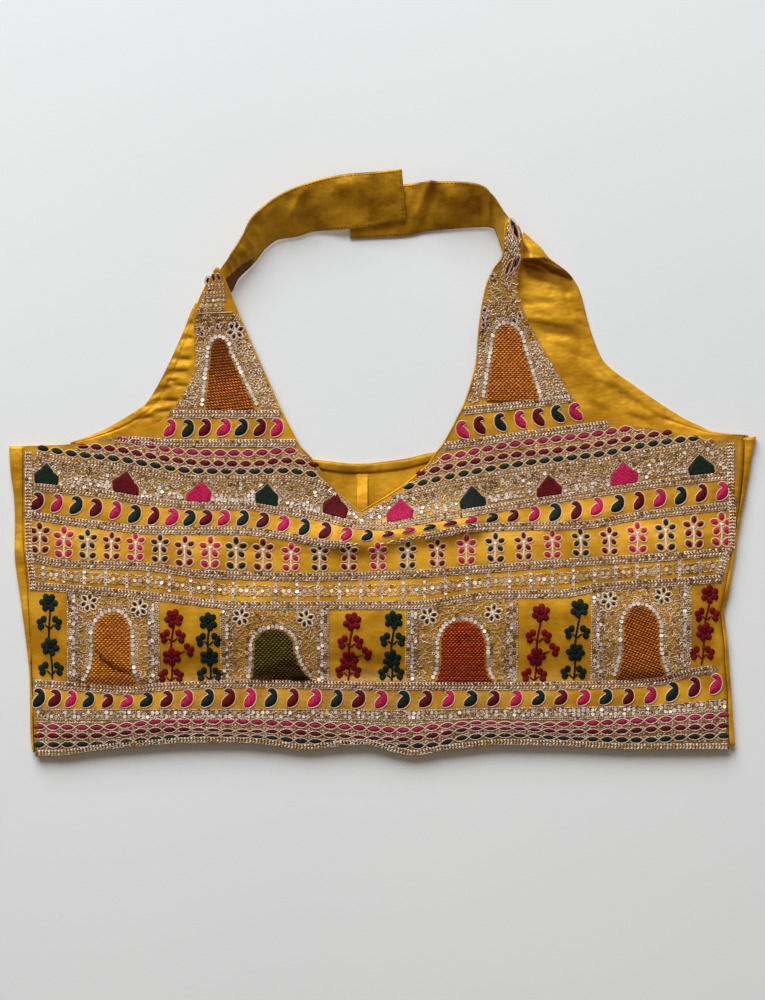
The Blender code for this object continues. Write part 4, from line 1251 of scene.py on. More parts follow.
def lay_braids(braids):
    """Every braid: across the body, under the chains, on the arms, beside the seams and along
    the hem. The bust braid peeps out of the fold that hides it, and tapers where it goes in."""
    start, end = ROW_ENDS
    for table in (YOKE_BRAID, BOOTI_BRAID, ARCH_BRAID, WAIST_BRAID):
        braid(braids, row_path(table, 0.0, start, end))
    braid(braids, row_path(BUST_BRAID, 0.0, start, HIDDEN[0]))
    braid(braids, row_path(BUST_BRAID, 0.0, HIDDEN[1], end))
    # Stitches that peep out of the fold, and those where the braid tapers
    at = lattice(-2, 26, -48, -36, 1.6, 0.5)
    at = at[np.abs(above(at, BUST_BRAID) - 1.2) < 1.4]
    stitches(braids, at, (-0.4, 1.0), (1.9, 0.7, 0.5))
    at = lattice(HIDDEN[0] - 1, HIDDEN[0] + 10, -60, -36, 1.5, 0.4)
    room = 2.3 - 0.2 * (at[:, 0] - HIDDEN[0])
    at = at[np.abs(above(at, BUST_BRAID) - 0.7) < room]
    stitches(braids, at, (-0.9, 0.9), (1.9, 0.8, 0.5))
    # On the arms, under the chains, beside the two seams and along the hem
    for path in YOKE_TOP + ARM_FOOT:
        braid(braids, row_path(path), 4.4, PALE_MIX)
    for chain in (YOKE_CHAINS[2][0], YOKE_CHAINS[5][0]):
        braid(braids, row_path(chain, -4.7), 4.0)
    y = np.linspace(-76, 7, 70)
    braid(braids, flat(side_line(2, y) + SIDE_GAP + 2.6, y), SIDE_BRAID, PALE_MIX)
    y = np.linspace(-67, 12.5, 70)
    braid(braids, flat(smooth(WORK_RIGHT, y) - 2.1, y), SIDE_BRAID, PALE_MIX)
    braid(braids, row_path(HEM, 1.9, -208, 208.4), 3.1, HEM_MIX)


def lay_ovals(floss, outlines, metal):
    """The chains of ovals over the bust and above the hem, and short stitches between them."""
    for line, name in YOKE_CHAINS:
        ovals(floss, outlines, line, name)
    pairs = [(YOKE_CHAINS[upper][0], YOKE_CHAINS[upper + 1][0]) for upper in (0, 1, 3, 4)]
    x = np.linspace(-210, 209, 60)
    pink, maroon, green = (smooth(line, x) for line in (PINK_HEM, MAROON_HEM, GREEN_HEM))
    rooms = (pink - maroon, np.minimum(pink - maroon, maroon - green), maroon - green)
    for line, name, room in zip((PINK_HEM, MAROON_HEM, GREEN_HEM), ("pink", "maroon", "green"), rooms):
        ovals(floss, outlines, line, name, HEM_OVAL_PITCH, flat(x, np.clip(room - 1.7, 1.7, 3.3)))
    for upper, lower in pairs + [(PINK_HEM, MAROON_HEM), (MAROON_HEM, GREEN_HEM)]:
        x = np.arange(max(upper[0][0], lower[0][0]), min(upper[-1][0], lower[-1][0]), 1.7)
        for share in (0.3, 0.5, 0.7):
            at = shaken(flat(x, smooth(upper, x) * share + smooth(lower, x) * (1 - share)), 0.35)
            stitches(metal, at, (-1.2, 1.2), (1.7, 0.7, 0.35), (0.2, 0.25, 0.2))
    # Under the lowest chain, along the highest one of the hem, and above it
    at = lattice(-209, 208, -174, -162, 1.6, 0.4)
    at = at[inside(at, band_region(GREEN_HEM, HEM, -209, 208, -1.6, 4.6))]
    stitches(metal, at[above(at, GREEN_HEM) < -1.7], (-0.8, 0.8), (1.6, 0.65, 0.4), HEM_MIX)
    at, turn = paced(row_path(PINK_HEM, 2.9), LINE_PITCH)
    stitches(metal, at, turn + 0.3, (1.6, 0.7, 0.5))
    at = lattice(-209, 208, -164, -146, 1.7, 0.4)
    at = at[inside(at, band_region(SEQUIN_BAND, PINK_HEM, -209, 208, -3.4, 3.2))]
    at = at[(above(at, PINK_HEM) > 3.0) & (above(at, SEQUIN_BAND) < -3.3)]
    stitches(metal, at, (-0.8, 0.8), (1.6, 0.7, 0.4))


def cycle(count, names):
    """As many names as asked for, again and again in the same order."""
    return [names[i % len(names)] for i in range(count)]


def lay_paisleys(floss, outlines):
    """The rows of paisleys: over the bust, under the arches, and on the arms."""
    for table, count, upper, lower, lift, tallest, most, names in (
        (PAISLEY_AT, PAISLEYS, YOKE_BRAID, BUST_BRAID, 0.0, 11.2, FOLDED_ROOM, CYCLE),
        (WAIST_PAISLEY_AT, WAIST_PAISLEYS, WAIST_BRAID, SEQUIN_BAND, 1.3, 12.2, OPEN_ROOM, DARK_CYCLE),
    ):
        x = smooth(table, np.arange(count))
        top, foot = smooth(upper, x) - BY_BRAID, smooth(lower, x) + BY_BRAID + lift
        room = np.minimum(np.clip(top - foot, 4.5, tallest), smooth(most, x))
        at = flat(x, np.where(room < top - foot - 2, top - room / 2 - 0.6, (top + foot) / 2))
        paisley_row(floss, outlines, at, room, cycle(count, names))
    for x, y, name in ARM_PAISLEYS:
        paisley_row(floss, outlines, np.array([[x, y]]), np.array([11.0]), [name], mirrored=x > 0)


def lay_bootis(floss, outlines):
    """The row of flowers on stems, under the bust: each is as tall as the room it has."""
    x = smooth(BOOTI_AT, np.arange(BOOTIS))
    foot = smooth(BOOTI_BRAID, x) + 2.7
    top = np.maximum(smooth(BUST_BRAID, x) - 2.4, foot + 18.2)
    booti(floss, outlines, flat(x, (top + foot) / 2 - 0.2), cycle(BOOTIS, CYCLE), (top - foot) / BOOTI_TALL)


def lay_sequin_flowers(outlines, sequins, metal):
    """The row of flowers: upright chains of sequins and rings from braid to braid, a small loop
    on each diagonal, and a pair of sequins between two of them."""
    x = np.arange(-203.5, 206, SEQUIN_FLOWER_PITCH)
    top, foot = smooth(BOOTI_BRAID, x) - BY_BRAID, smooth(ARCH_BRAID, x) + BY_BRAID
    at, half = flat(x, (top + foot) / 2), ((top - foot) / 2)[:, None]
    spangles(sequins, at, 1.05)
    for sign in (1, -1):
        up = np.array((0, sign)) * half
        scatter(outlines, RING, at + up * 0.36, 0.0, 1.15)
        spangles(sequins, at + up * 0.66, 0.85)
        scatter(outlines, RING, at + up * 0.92, 0.0, 0.9)
    loop = petal_loop(2.5, 1.7, 0.72, 0.6, 8)
    for angle in np.arange(4) * np.pi / 2 + np.pi / 4:
        scatter(outlines, loop, at + heading(angle) * 0.9, angle, 1.0)
    middle = at[:-1] + np.diff(at, axis=0) / 2
    for side in (-1, 1):
        spangles(sequins, middle + (side * 1.6, 0), 1.0)
        scatter(outlines, CURL, middle + (side * 3.9, 0.9), side * 0.6, 0.9)
        for shift in ((side * 3.6, -1.3), (side * 0.9, 2.3), (side * 0.9, -2.3)):
            scatter(outlines, RING, middle + shift, 0.0, 0.85, MIXED)
    x = np.arange(-210, 209, LINE_PITCH)
    for share in (0.33, 0.67):
        at = shaken(flat(x, smooth(BOOTI_BRAID, x) * share + smooth(ARCH_BRAID, x) * (1 - share)), 0.4)
        stitches(metal, at, (-0.7, 0.7), (1.5, 0.6, 0.5), MIXED)


def fill_neck_foot(metal, sequins, gables):
    """The ground under the V neck: loops, curls, sequins and spare stitches."""
    at = filling(NECK_FOOT, gables, 2.3, 0.4)
    pick, turn = CHANCE.random(len(at)), CHANCE.uniform(0, 6.28, len(at))
    loop, curl = pick < LOOP_SHARE, (pick >= LOOP_SHARE) & (pick < LOOP_SHARE + CURL_SHARE)
    scatter(metal, RING, at[loop], turn[loop], 1.0)
    scatter(metal, CURL, at[curl], turn[curl], 1.0)
    spangles(sequins, at[pick > 1 - DISC_SHARE], 0.95)
    spare = shaken(at, 1.2)
    spare = spare[inside(spare, NECK_FOOT) & clear_of(spare, gables)]
    stitches(metal, spare, ANY_LEAN, (1.9, 0.75, 0.7))


def lay_yoke(metal, sequins, gables):
    """The ground between the gables: golden rings at the top, then pale curls, and rows of
    sequins among rings at the foot."""
    for chain, start, end in ((YOKE_CHAINS[2][0], -216, -20), (YOKE_CHAINS[5][0], 6, 214)):
        upper = [(x, y - 7.9) for x, y in chain]
        lower = [(x, y + 3.2) for x, y in YOKE_BRAID]
        for number, path in rows_between(upper, lower, start, end, 2.25):
            at = shaken(paced(path[number % 2:], 2.35)[0], 0.3)
            at = at[clear_of(at, gables, 1.14)]
            pick = CHANCE.random(len(at))
            disc = (above(at, lower) < 4.2) & (pick < 0.5) | (pick < 0.08)
            ring = ~disc & (number < 2)
            scatter(metal, RING, at[ring], 0.0, 1.15, GOLDEN_MIX)
            scatter(metal, CURL, at[~disc & ~ring], ANY_TURN, 0.95)
            spangles(sequins, at[disc], 1.0)
            spare = shaken(at, 1.1)
            stitches(metal, spare[clear_of(spare, gables, 1.08)], ANY_LEAN, (1.7, 0.75, 0.6))
    fill_neck_foot(metal, sequins, gables)


def lay_column(metal, sequins, x, inward, low, high, shares):
    """An upright band: a rope, a lane of rings, a lane of sequins, a lane of curls, a thread."""
    y = np.arange(low, high, LINE_PITCH)
    lean = np.pi / 2 + CHANCE.uniform(-0.2, 0.2, len(y))
    stitches(metal, flat(x, y), lean, (1.6, 0.65, 0.6), ROPE_MIX)
    for lane, late, discs, body in ((1.6, 0, 0.12, RING), (3.7, 1, 0.62, CURL), (5.6, 0, 0.1, CURL)):
        y = np.arange(low + 0.8 + late * 1.2, high - 0.4, 2.35)
        at = shaken(flat(x + inward * lane, y), 0.3)
        disc = CHANCE.random(len(y)) < discs
        spangles(sequins, at[disc], 0.95)
        scatter(metal, body, at[~disc], ANY_TURN, 1.0, shares)
    line = flat(x + inward * 7.1, np.arange(low, high, 1.7))
    stitches(metal, line, np.pi / 2, (1.7, 0.5, 0.5), (0.1, 0.4, 0.15))


def lay_arch_rows(metal, sequins, arch, shares):
    """The rows that run round an arch: sequins against it, and small rings outside them."""
    foot_y = arch[5]
    for margin, pitch in ((1.7, 2.65), (3.9, 2.3)):
        edge = arch_outline(arch, margin)[:-1]
        at, turn = paced(edge[edge[:, 1] > foot_y - 0.5], pitch)
        at = shaken(at, 0.15)
        if margin < 2:
            spangles(sequins, at, 1.12)
        else:
            scatter(metal, RING, at, turn, 1.0, shares)


def lay_squiggles(metal, at, shares):
    """Wavy threads and curls at the points of a ground, with the satin showing between them."""
    turn = CHANCE.uniform(0, 6.28, len(at))
    curly = CHANCE.random(len(at)) < 0.45
    scatter(metal, SQUIGGLE, at[~curly], turn[~curly], 1.0, shares)
    scatter(metal, CURL, at[curly], turn[curly], 0.95, shares)


def lay_frames(metal, sequins):
    """The four frames round the arches of the body, and the ground of both arms."""
    stars = [ellipse(12, 5.0, 5.0) + star_at for star_at in STARS]
    for (left, right, pale), arch in zip(FRAMES, ARCHES):
        rim_mix, ground_mix = (PALE_MIX, (0.32, 0.08, 0.2)) if pale else (MIXED, (0.16, 0.1, 0.42))
        for side, inward in ((left, 1), (right, -1)):
            low, high = smooth(WAIST_BRAID, side) + BY_BRAID, smooth(ARCH_BRAID, side) - BY_BRAID
            lay_column(metal, sequins, side, inward, low, high, rim_mix)
        lay_arch_rows(metal, sequins, arch, rim_mix)
        region = band_region(ARCH_BRAID, WAIST_BRAID, left + 7.4, right - 7.4, -BY_BRAID, BY_BRAID)
        at = filling(region, [arch_outline(arch, 5.0)] + stars, 2.3, 0.45)
        lay_squiggles(metal, at, ground_mix)
    for arm, foot, top, arch in (ARMS[0], 32, 84, ARCHES[4]), (ARMS[1], 36, 93, ARCHES[5]):
        lay_arch_rows(metal, sequins, arch, PALE_MIX)
        keep_out = [arch_outline(arch, 5.0)] + stars
        region = arm_region(*arm, foot, top)
        for low, high, shares in ((foot, DIM_FROM, PALE_MIX), (DIM_FROM, top, DIM_MIX)):
            at = filling(region, keep_out, 2.2, 0.45)
            lay_squiggles(metal, at[(at[:, 1] > low) & (at[:, 1] < high)], shares)
            left = region[:, 0].min()
            at = lattice(left, left + 60, low, high, 2.1, 0.5)
            at = at[inside(at, region) & clear_of(at, keep_out)]
            stitches(metal, at, ANY_LEAN, (1.9, 0.75, 0.7), shares)


def lay_arm_tops(floss, outlines, metal, sequins):
    """What stands above the arches of the arms: bands, loops, and petals in dark dyes."""
    for x, y, way, length, width, name in ARM_PETALS:
        at, ahead = np.array([[x, y]]), heading(way)
        stamp(floss, petal(length, width, 0.6), at - ahead * length / 2, way, 1.0, DYES[name])
        loop = petal_loop(length + 1.4, width + 1.2, 0.8, 0.65, 12)
        stamp(outlines, loop, at - ahead * (length / 2 + 0.7), way, 1.0, METAL_PALE * 1.05)
    # Left arm, downwards: two braids, a zigzag of sequins, rings, a ground and a thread
    for start, end in (((-107.5, 104.8), (-94.3, 105.6)), ((-108.5, 100.5), (-94.0, 101.3))):
        braid(outlines, np.linspace(start, end, 16), 3.6, PALE_MIX)
    zigzag = np.linspace((-110.4, 95.6), (-95.4, 96.4), 11)
    zigzag[:, 1] += 1.5 * (-1) ** np.arange(11)
    spangles(sequins, zigzag, 0.8)
    scatter(metal, CURL, zigzag + (0.6, 0), (0, 6), 1.0)
    scatter(metal, RING, np.linspace((-112.6, 91.2), (-95.5, 92.4), 9), 0.0, 1.1, MIXED)
    at = lattice(-115, -86, 84.6, 89.4, 1.5, 0.3)
    stitches(metal, at, ANY_LEAN, (1.7, 0.7, 0.6), (0.12, 0.4, 0.2))
    thread(metal, np.linspace((-114.5, 89.7), (-87.5, 90.6), 20), 0.9, 0.8)
    # Right arm: wavy threads, the ground of its tip round two petals, a band of stitches, a
    # loop, and a thread on each side of the upper petal
    scatter(metal, SQUIGGLE, lattice(64.5, 81, 97, 115, 2.3, 0.5), ANY_TURN, 1.0, (0.35, 0.12, 0.3))
    at = lattice(72, 86, 115, 152, 1.5, 0.3)
    for middle, way, length, width in (((78.6, 139.6), -1.22, 14.0, 3.6), ((78.2, 118.4), 1.15, 12.0, 7.6)):
        leaf = ellipse(10, length / 2, width / 2 + 0.5)
        turned = leaf @ np.array((heading(way), (-np.sin(way), np.cos(way))))
        at = at[~inside(at, turned + middle)]
    lean = 1.6 + CHANCE.uniform(-0.5, 0.5, len(at))
    stitches(metal, at, lean, (1.8, 0.75, 0.7), (0.7, 0.05, 0.02))
    stitches(metal, lattice(60, 84, 89.5, 96.6, 1.6, 0.35), ANY_LEAN, (1.7, 0.7, 0.6), MIXED)
    scatter(outlines, RING, np.array([[65.8, 111.5]]), 0.0, 1.9)
    for side in (-1, 1):
        stripe = np.array(((78.6, 147.0), (80.5, 139.0), (79.8, 129.5))) + (side * 2.6, 0)
        thread(outlines, flowing_rows(stripe, 14), 0.9, 0.8, METAL_PALE * (1.0, 0.8, 0.8))


def lay_sequin_band(metal, sequins):
    """The sequin band above the hem."""
    for lift in (2.9, -2.9):
        at, turn = paced(row_path(SEQUIN_BAND, lift, *BAND_ENDS), LINE_PITCH)
        stitches(metal, at, turn, (1.6, 0.65, 0.55), ROPE_MIX)
    for lift, discs in ((1.2, 0.62), (-1.2, 0.55)):
        at = shaken(paced(row_path(SEQUIN_BAND, lift, *BAND_ENDS), 2.75)[0], 0.25)
        disc = CHANCE.random(len(at)) < discs
        spangles(sequins, at[disc], 0.98)
        scatter(metal, CURL, at[~disc], ANY_TURN, 1.05)
    at = paced(row_path(SEQUIN_BAND, 0.0, *BAND_ENDS), LINE_PITCH)[0]
    at = at + CHANCE.uniform(-1.8, 1.8, at.shape) * (0.2, 1)
    stitches(metal, at, ANY_LEAN, (1.6, 0.7, 0.5), MIXED)


def lay_sprigs(floss):
    """The sprigs of the panels between the frames, from braid to braid."""
    for top_x, foot_x, *shares, side_leaf, name in SPRIGS:
        middle = (top_x + foot_x) / 2
        top, foot = smooth(ARCH_BRAID, middle) - 2.2, smooth(WAIST_BRAID, middle) + 2.2
        sprig(floss, top_x, foot_x, shares, side_leaf, name, top, foot)


def worked_regions():
    """Outlines of the parts of the front whose satin is worked over, and how far, and of the bands about the
    waist braid where the satin is darkened as painted shade. A later one takes the place of an earlier one."""
    chains = [chain for chain, _ in YOKE_CHAINS]
    # Upper row, lower row, from and to across, how far past each of them, and how dark the satin turns under
    # cover of work, or, in the bands about the waist braid, under painted shade
    bands = [
        (chains[2], YOKE_BRAID, -216, -18, -3, 0, 0.75), (chains[5], YOKE_BRAID, 5, 213, -3, 0, 0.75),
        (SEQUIN_BAND, HEM, -209, 209, 3.4, -2, 1.0),
    ]
    cover_and_shade_regions = [(band_region(*band), cover_and_shade) for *band, cover_and_shade in bands] + [(NECK_FOOT, 1.0)]
    bands = [
        (chains[0], chains[2], -175, -30, 2.5, -3, 0.45), (chains[3], chains[5], 22, 175, 2.5, -3, 0.45),
        (YOKE_TOP[0], chains[0], -172, -46, -1.5, -1.0, 0.6),
        (YOKE_TOP[1], chains[3], 34.5, 136, -1.5, -1.0, 0.6),
    ]
    cover_and_shade_regions += [(band_region(*band), cover_and_shade) for *band, cover_and_shade in bands]
    cover_and_shade_regions += [(arm_region(*arm, *ends), 0.6) for arm, ends in zip(ARMS, ((29, 90), (36, 152)))]
    # The frames are worked over; the four bands after them are painted shade in the fold above and below the
    # waist braid, darker near the middle.
    bands = [(ARCH_BRAID, WAIST_BRAID, left, right, 0.0, 0.0, 0.3) for left, right, _ in FRAMES] + [
        (WAIST_BRAID, WAIST_BRAID, -127, 108, 7.0, 2.0, 0.35),
        (WAIST_BRAID, WAIST_BRAID, -36, 4, 9.5, 2.0, 0.55),
        (WAIST_BRAID, SEQUIN_BAND, -127, 108, -2.0, 3.0, 0.22),
        (WAIST_BRAID, SEQUIN_BAND, -40, 10, -2.0, 3.0, 0.4),
    ]
    for table in (YOKE_BRAID, BOOTI_BRAID, ARCH_BRAID, WAIST_BRAID) + YOKE_TOP + ARM_FOOT:
        bands.append((table, table, table[0][0], table[-1][0], 2.5, -2.5, 1.0))
    for start, end in ((ROW_ENDS[0], HIDDEN[0]), (HIDDEN[1], ROW_ENDS[1])):
        bands.append((BUST_BRAID, BUST_BRAID, start, end, 2.5, -2.5, 1.0))
    for left, right, _ in FRAMES:
        bands += [(ARCH_BRAID, WAIST_BRAID, side, side + 7.5, 0.0, 0.0, 0.95) for side in (left, right - 7.5)]
    return cover_and_shade_regions + [(band_region(*band), cover_and_shade) for *band, cover_and_shade in bands]


def neck_piping(material):
    """The rolled edge along the neck, from one arm's tip down to the V and up to the other's."""
    left, right = flowing_rows(LEFT_ARM, 120)[::-1, 2:], flowing_rows(RIGHT_ARM, 120)[1:, :2]
    even, _ = paced(np.concatenate((left, right)), 1.3)
    beside = leftward(even)
    shares, rise = (0, 0.14, 0.5, 0.86, 1), (0, 0.75, 1, 0.75, 0)
    points, faces = raised(even - beside * 0.05, even - beside * 1.05, 0.4, shares, rise)
    return mesh_piece("neck_piping", on_front(points), faces, material)


# ---------------------------------------------------------------- cloth
def between(first, second, shares):
    """Points spread over straight lines from a row of first points to a row of second ones."""
    shares = np.asarray(shares)[:, None]
    return first[:, None] * (1 - shares) + second[:, None] * shares


def solidify(piece, wall):
    """Gives a sheet of cloth its wall, on the inner side of its faces."""
    modifier = piece.modifiers.new("wall", "SOLIDIFY")
    modifier.thickness = wall * MM
    modifier.offset = -1
    return piece


def body_half(top_outer, top_inner, seam_column, shares, level):
    """Rows of one half of the body, from the hem up to the foot of the V neck."""
    top = between(top_outer[None], top_inner[None], shares)[0]
    hem_y = smooth(HEM, top_outer[0])
    rows = []
    for share in level:
        seam_x = side_line(seam_column, top_outer[1] * share + hem_y * (1 - share))
        spread = (top[:, 0] - CENTRE_X) / (top_outer[0] - CENTRE_X)
        x = CENTRE_X + spread * (seam_x + np.sign(CENTRE_X - seam_x) * SEAM_SHOWS - CENTRE_X)
        x = x if share < 1 else top[:, 0]
        rows.append(flat(x, smooth(HEM, x) * (1 - share) + top[:, 1] * share))
    return np.array(rows)


def front_cloth(material):
    """The front: a height field over its outline, closed by the wall of its cloth."""
    left, right = flowing_rows(LEFT_ARM, 70), flowing_rows(RIGHT_ARM, 80)
    # Steps of 2.7 mm at most across the front and up its body
    left_shares, right_shares = np.linspace(0, 1, 81), np.linspace(0, 1, 89)
    level = np.linspace(0, 1, 76)
    patches = [
        np.concatenate((patch, surface(patch[..., 0], patch[..., 1])[..., None]), -1) for patch in (
            body_half(left[0, :2], left[0, 2:], 2, left_shares, level),
            body_half(right[0, 2:], right[0, :2], 3, right_shares[::-1], level),
            between(left[:, :2], left[:, 2:], left_shares),
            between(right[:, :2], right[:, 2:], right_shares),
        )
    ]
    points, faces = shell_down(*join_patches(patches), EMBROIDERED)
    # How far each point is darkened: cover of work, and painted shade in the bands about the waist braid
    worked_and_shaded = np.zeros(len(points))
    for region, cover_and_shade in worked_regions():
        worked_and_shaded[inside(points[:, :2], region)] = cover_and_shade * FULL_COVER
    return mesh_piece("front_cloth", points, faces, material, worked_and_shaded)


def fold_bend(inward):
    """Height of the side fold's round bend at a distance in from its edge, from its middle."""
    inward = np.minimum(inward, SIDE_FOLD_RADIUS)
    return np.sqrt(SIDE_FOLD_RADIUS**2 - (SIDE_FOLD_RADIUS - inward) ** 2)


def fold_over(width):
    """Distance in from the edge and height of the side fold's top, from its seam outwards."""
    narrow = np.maximum(0.3, (width - SATIN) / (1 - SATIN / SIDE_FOLD_RADIUS))
    width = np.where(width < SIDE_FOLD_RADIUS, narrow, width)
    inward = np.array((1, 0.85, 0.7, 0.55, 0.4, 0.25, 0.15, 0.07, 0.02, 0)) * width
    return inward, SIDE_FOLD_RADIUS + fold_bend(inward)


def back_cloth(material):
    """The back: flat on the table, up round each side and over to the side seams. The strips
    that turn over wave a little along their length."""
    rows = []
    wave = np.sin(np.linspace(0, np.pi, 10))
    foot = smooth(HEM, -200.0) + HEM_INSET
    under = np.array((0.02, 0.07, 0.28, 0.6, 1)) * SIDE_FOLD_RADIUS
    under_z = SIDE_FOLD_RADIUS - fold_bend(under)
    for share in np.linspace(0, 1, 91):
        left_y, right_y = (foot * (1 - share) + smooth(BACK_TOP, end) * share for end in (-220.0, 220.0))
        left_edge, left_seam = (side_line(column, left_y) for column in (1, 2))
        right_seam, right_edge = (side_line(column, right_y) for column in (3, 4))
        left_over, left_z = fold_over(left_seam - left_edge)
        right_over, right_z = fold_over(right_edge - right_seam)
        ripple = 0.35 * np.sin(share * 31) + 0.25 * np.sin(share * 67 + 1)
        bottom = np.linspace(left_edge + SIDE_FOLD_RADIUS, right_edge - SIDE_FOLD_RADIUS, 140)[1:-1]
        x = np.concatenate((
            left_edge + left_over, left_edge + under, bottom,
            (right_edge - under)[::-1], (right_edge - right_over)[::-1],
        ))
        z = np.concatenate((
            left_z + ripple * wave, under_z, bottom * 0, under_z[::-1], (right_z - ripple * wave)[::-1],
        ))
        y = (smooth(HEM, x) + HEM_INSET) * (1 - share) + smooth(BACK_TOP, x) * share
        rows.append(np.stack((x, y, z), axis=-1))
    points = np.array(rows)[:, ::-1]
    faces = grid_faces(*points.shape[:2])
    return solidify(mesh_piece("back_cloth", points.reshape(-1, 3), faces, material), SATIN)


def strip_cloth(name, left, right, lower, upper, columns, material):
    """A strip on the back between two curves, slightly raised along its middle."""
    x = np.linspace(left, right, columns)
    share = np.linspace(0, 1, 7)[:, None]
    y = lower(x) * (1 - share) + upper(x) * share
    lift = np.minimum(np.sin(np.pi * share) * 1.4, 1) - 0.75
    height = SATIN + SEAM_GAP + HEM_CLOTH + 0.6 * lift + 0.12 * np.sin(x / 5.3)
    grid = np.stack(np.broadcast_arrays(x, y, height), axis=-1)[::-1]
    if lower(x)[0] < upper(x)[0]:
        grid = grid[::-1]
    points, faces = shell_down(grid.reshape(-1, 3), grid_faces(*grid.shape[:2]), HEM_CLOTH)
    return mesh_piece(name, points, faces, material)


def topstitch(work, line, pitch=2.3):
    """Small stitches along a line in space."""
    run = np.concatenate(((0,), np.cumsum(np.linalg.norm(np.diff(line, axis=0), axis=1))))
    along = np.arange(pitch / 2, run[-1], pitch)
    at = np.stack([np.interp(along, run, column) for column in line.T], axis=-1)
    ahead = np.stack([np.interp(along + 0.8, run, column) for column in line.T], axis=-1) - at
    copies = place(GRAIN[0], at, np.arctan2(ahead[:, 1], ahead[:, 0]), (1.5, 0.5, 0.22))
    copies[..., 2] += at[:, 2:]
    work.add(copies, GRAIN[1], STITCH_DYE * CHANCE.uniform(0.7, 1.3, (len(at), 1)))


def facing_up(grid, dark):
    """A grid of points and how dark each is, with their columns turned about where the grid
    would face down."""
    beside, ahead = grid[0, -1, :2] - grid[0, 0, :2], grid[1, 0, :2] - grid[0, 0, :2]
    if beside[0] * ahead[1] < beside[1] * ahead[0]:
        return grid[:, ::-1], dark[:, ::-1]
    return grid, dark


def darkened(grid, outline):
    """Which points of a grid an outline encloses."""
    return inside(grid.reshape(-1, 3), outline).reshape(grid.shape[:2])


def armhole_cloth(name, table, crinkles, rows, material):
    """A panel between its outer edge and its hidden inner edge: low at the edge, raised in the
    middle and flat again where it lies under the face, with crinkles across it."""
    edges = flowing_rows(table, rows)
    shares = np.linspace(0, 1, 33)
    outer, middle = edges[:, 4:5], edges[:, 5:6]
    rising = smooth(((0, 0), (0.2, 0.7), (0.5, 1), (1, 1)), shares)
    tuck = ease((shares - 0.5) / 0.3)
    height = outer + (middle - outer) * rising
    height = height * (1 - tuck) + np.minimum(height, PANEL_TUCK) * tuck
    x, y = np.moveaxis(between(edges[:, :2], edges[:, 2:4], shares), -1, 0)
    trough = crinkle_depth(x, y, crinkles)
    height = np.maximum(height - trough - 0.5 * bell(shares - 0.2, 0.03), SATIN)
    grid = np.stack((x, y, height), axis=-1)
    # Painted shade: dark under the flap of the right panel, and darker in the trough of each crinkle
    dark = np.where(darkened(grid, FLAP_SHADE), 0.85, np.clip(trough / 1.8, 0, 1) * 0.6)
    grid, dark = facing_up(grid, dark)
    points, faces = shell_down(grid.reshape(-1, 3), grid_faces(*grid.shape[:2]), SATIN)
    dark = np.concatenate((dark.ravel(), np.zeros(len(points) - dark.size)))
    return mesh_piece(name, points, faces, material, dark)


def strap_cloth(name, table, rows, crease, ripples, arm_end, material, sewing):
    """A ribbon from edge to edge, bowed up between them, with short ripples across it: each is
    a bell along the strap, which may lean, times half a sine wave across. By the arm it hangs
    level at first and steeper towards its lower edge."""
    edges = flowing_rows(table, rows)
    shares = np.linspace(0, 1, 25)
    ribbon = between(edges[:, :3], edges[:, 3:], shares)
    x, y = ribbon[..., 0], ribbon[..., 1]
    along = np.linspace(0, 1, len(ribbon))[:, None]
    steeper = 1 + 1.6 * (1 - ease(np.abs(along - arm_end) / 0.2))
    drop = (edges[:, 5] - edges[:, 2])[:, None]
    ribbon[..., 2] += drop * (shares**steeper - shares) + STRAP_BOW * 4 * shares * (1 - shares)
    # Painted shade where the left strap turns under by the arm
    dark = darkened(ribbon, STRAP_TURN_SHADE) * 0.95
    if crease:
        (x0, y0), (x1, y1) = crease
        off = ((x - x0) * (y1 - y0) - (y - y0) * (x1 - x0)) / np.hypot(x1 - x0, y1 - y0)
        ribbon[..., 2] += CREASE_HEIGHT * np.clip((y - y0) / (y1 - y0), 0, 1) * bell(off, CREASE_WIDTH)
        # Painted shade along both sides of the crease
        dark = 0.5 * bell(off - 4.6, 2.6) + 0.25 * bell(off + 5.2, 2.4)
    for middle, width, height, low, high, lean in ripples:
        across = np.clip((shares - low) / (high - low), 0, 1)
        off = along - middle - lean * (shares - 0.5)
        ribbon[..., 2] += height * bell(off, width) * np.sin(np.pi * across)
    for column in (1, 23):
        topstitch(sewing, ribbon[:, column])
    if not crease:
        topstitch(sewing, ribbon[-3])
    ribbon, dark = facing_up(ribbon, dark)
    faces = grid_faces(*ribbon.shape[:2])
    return solidify(
        mesh_piece(name, ribbon.reshape(-1, 3), faces, material, dark.ravel()), SATIN
    )


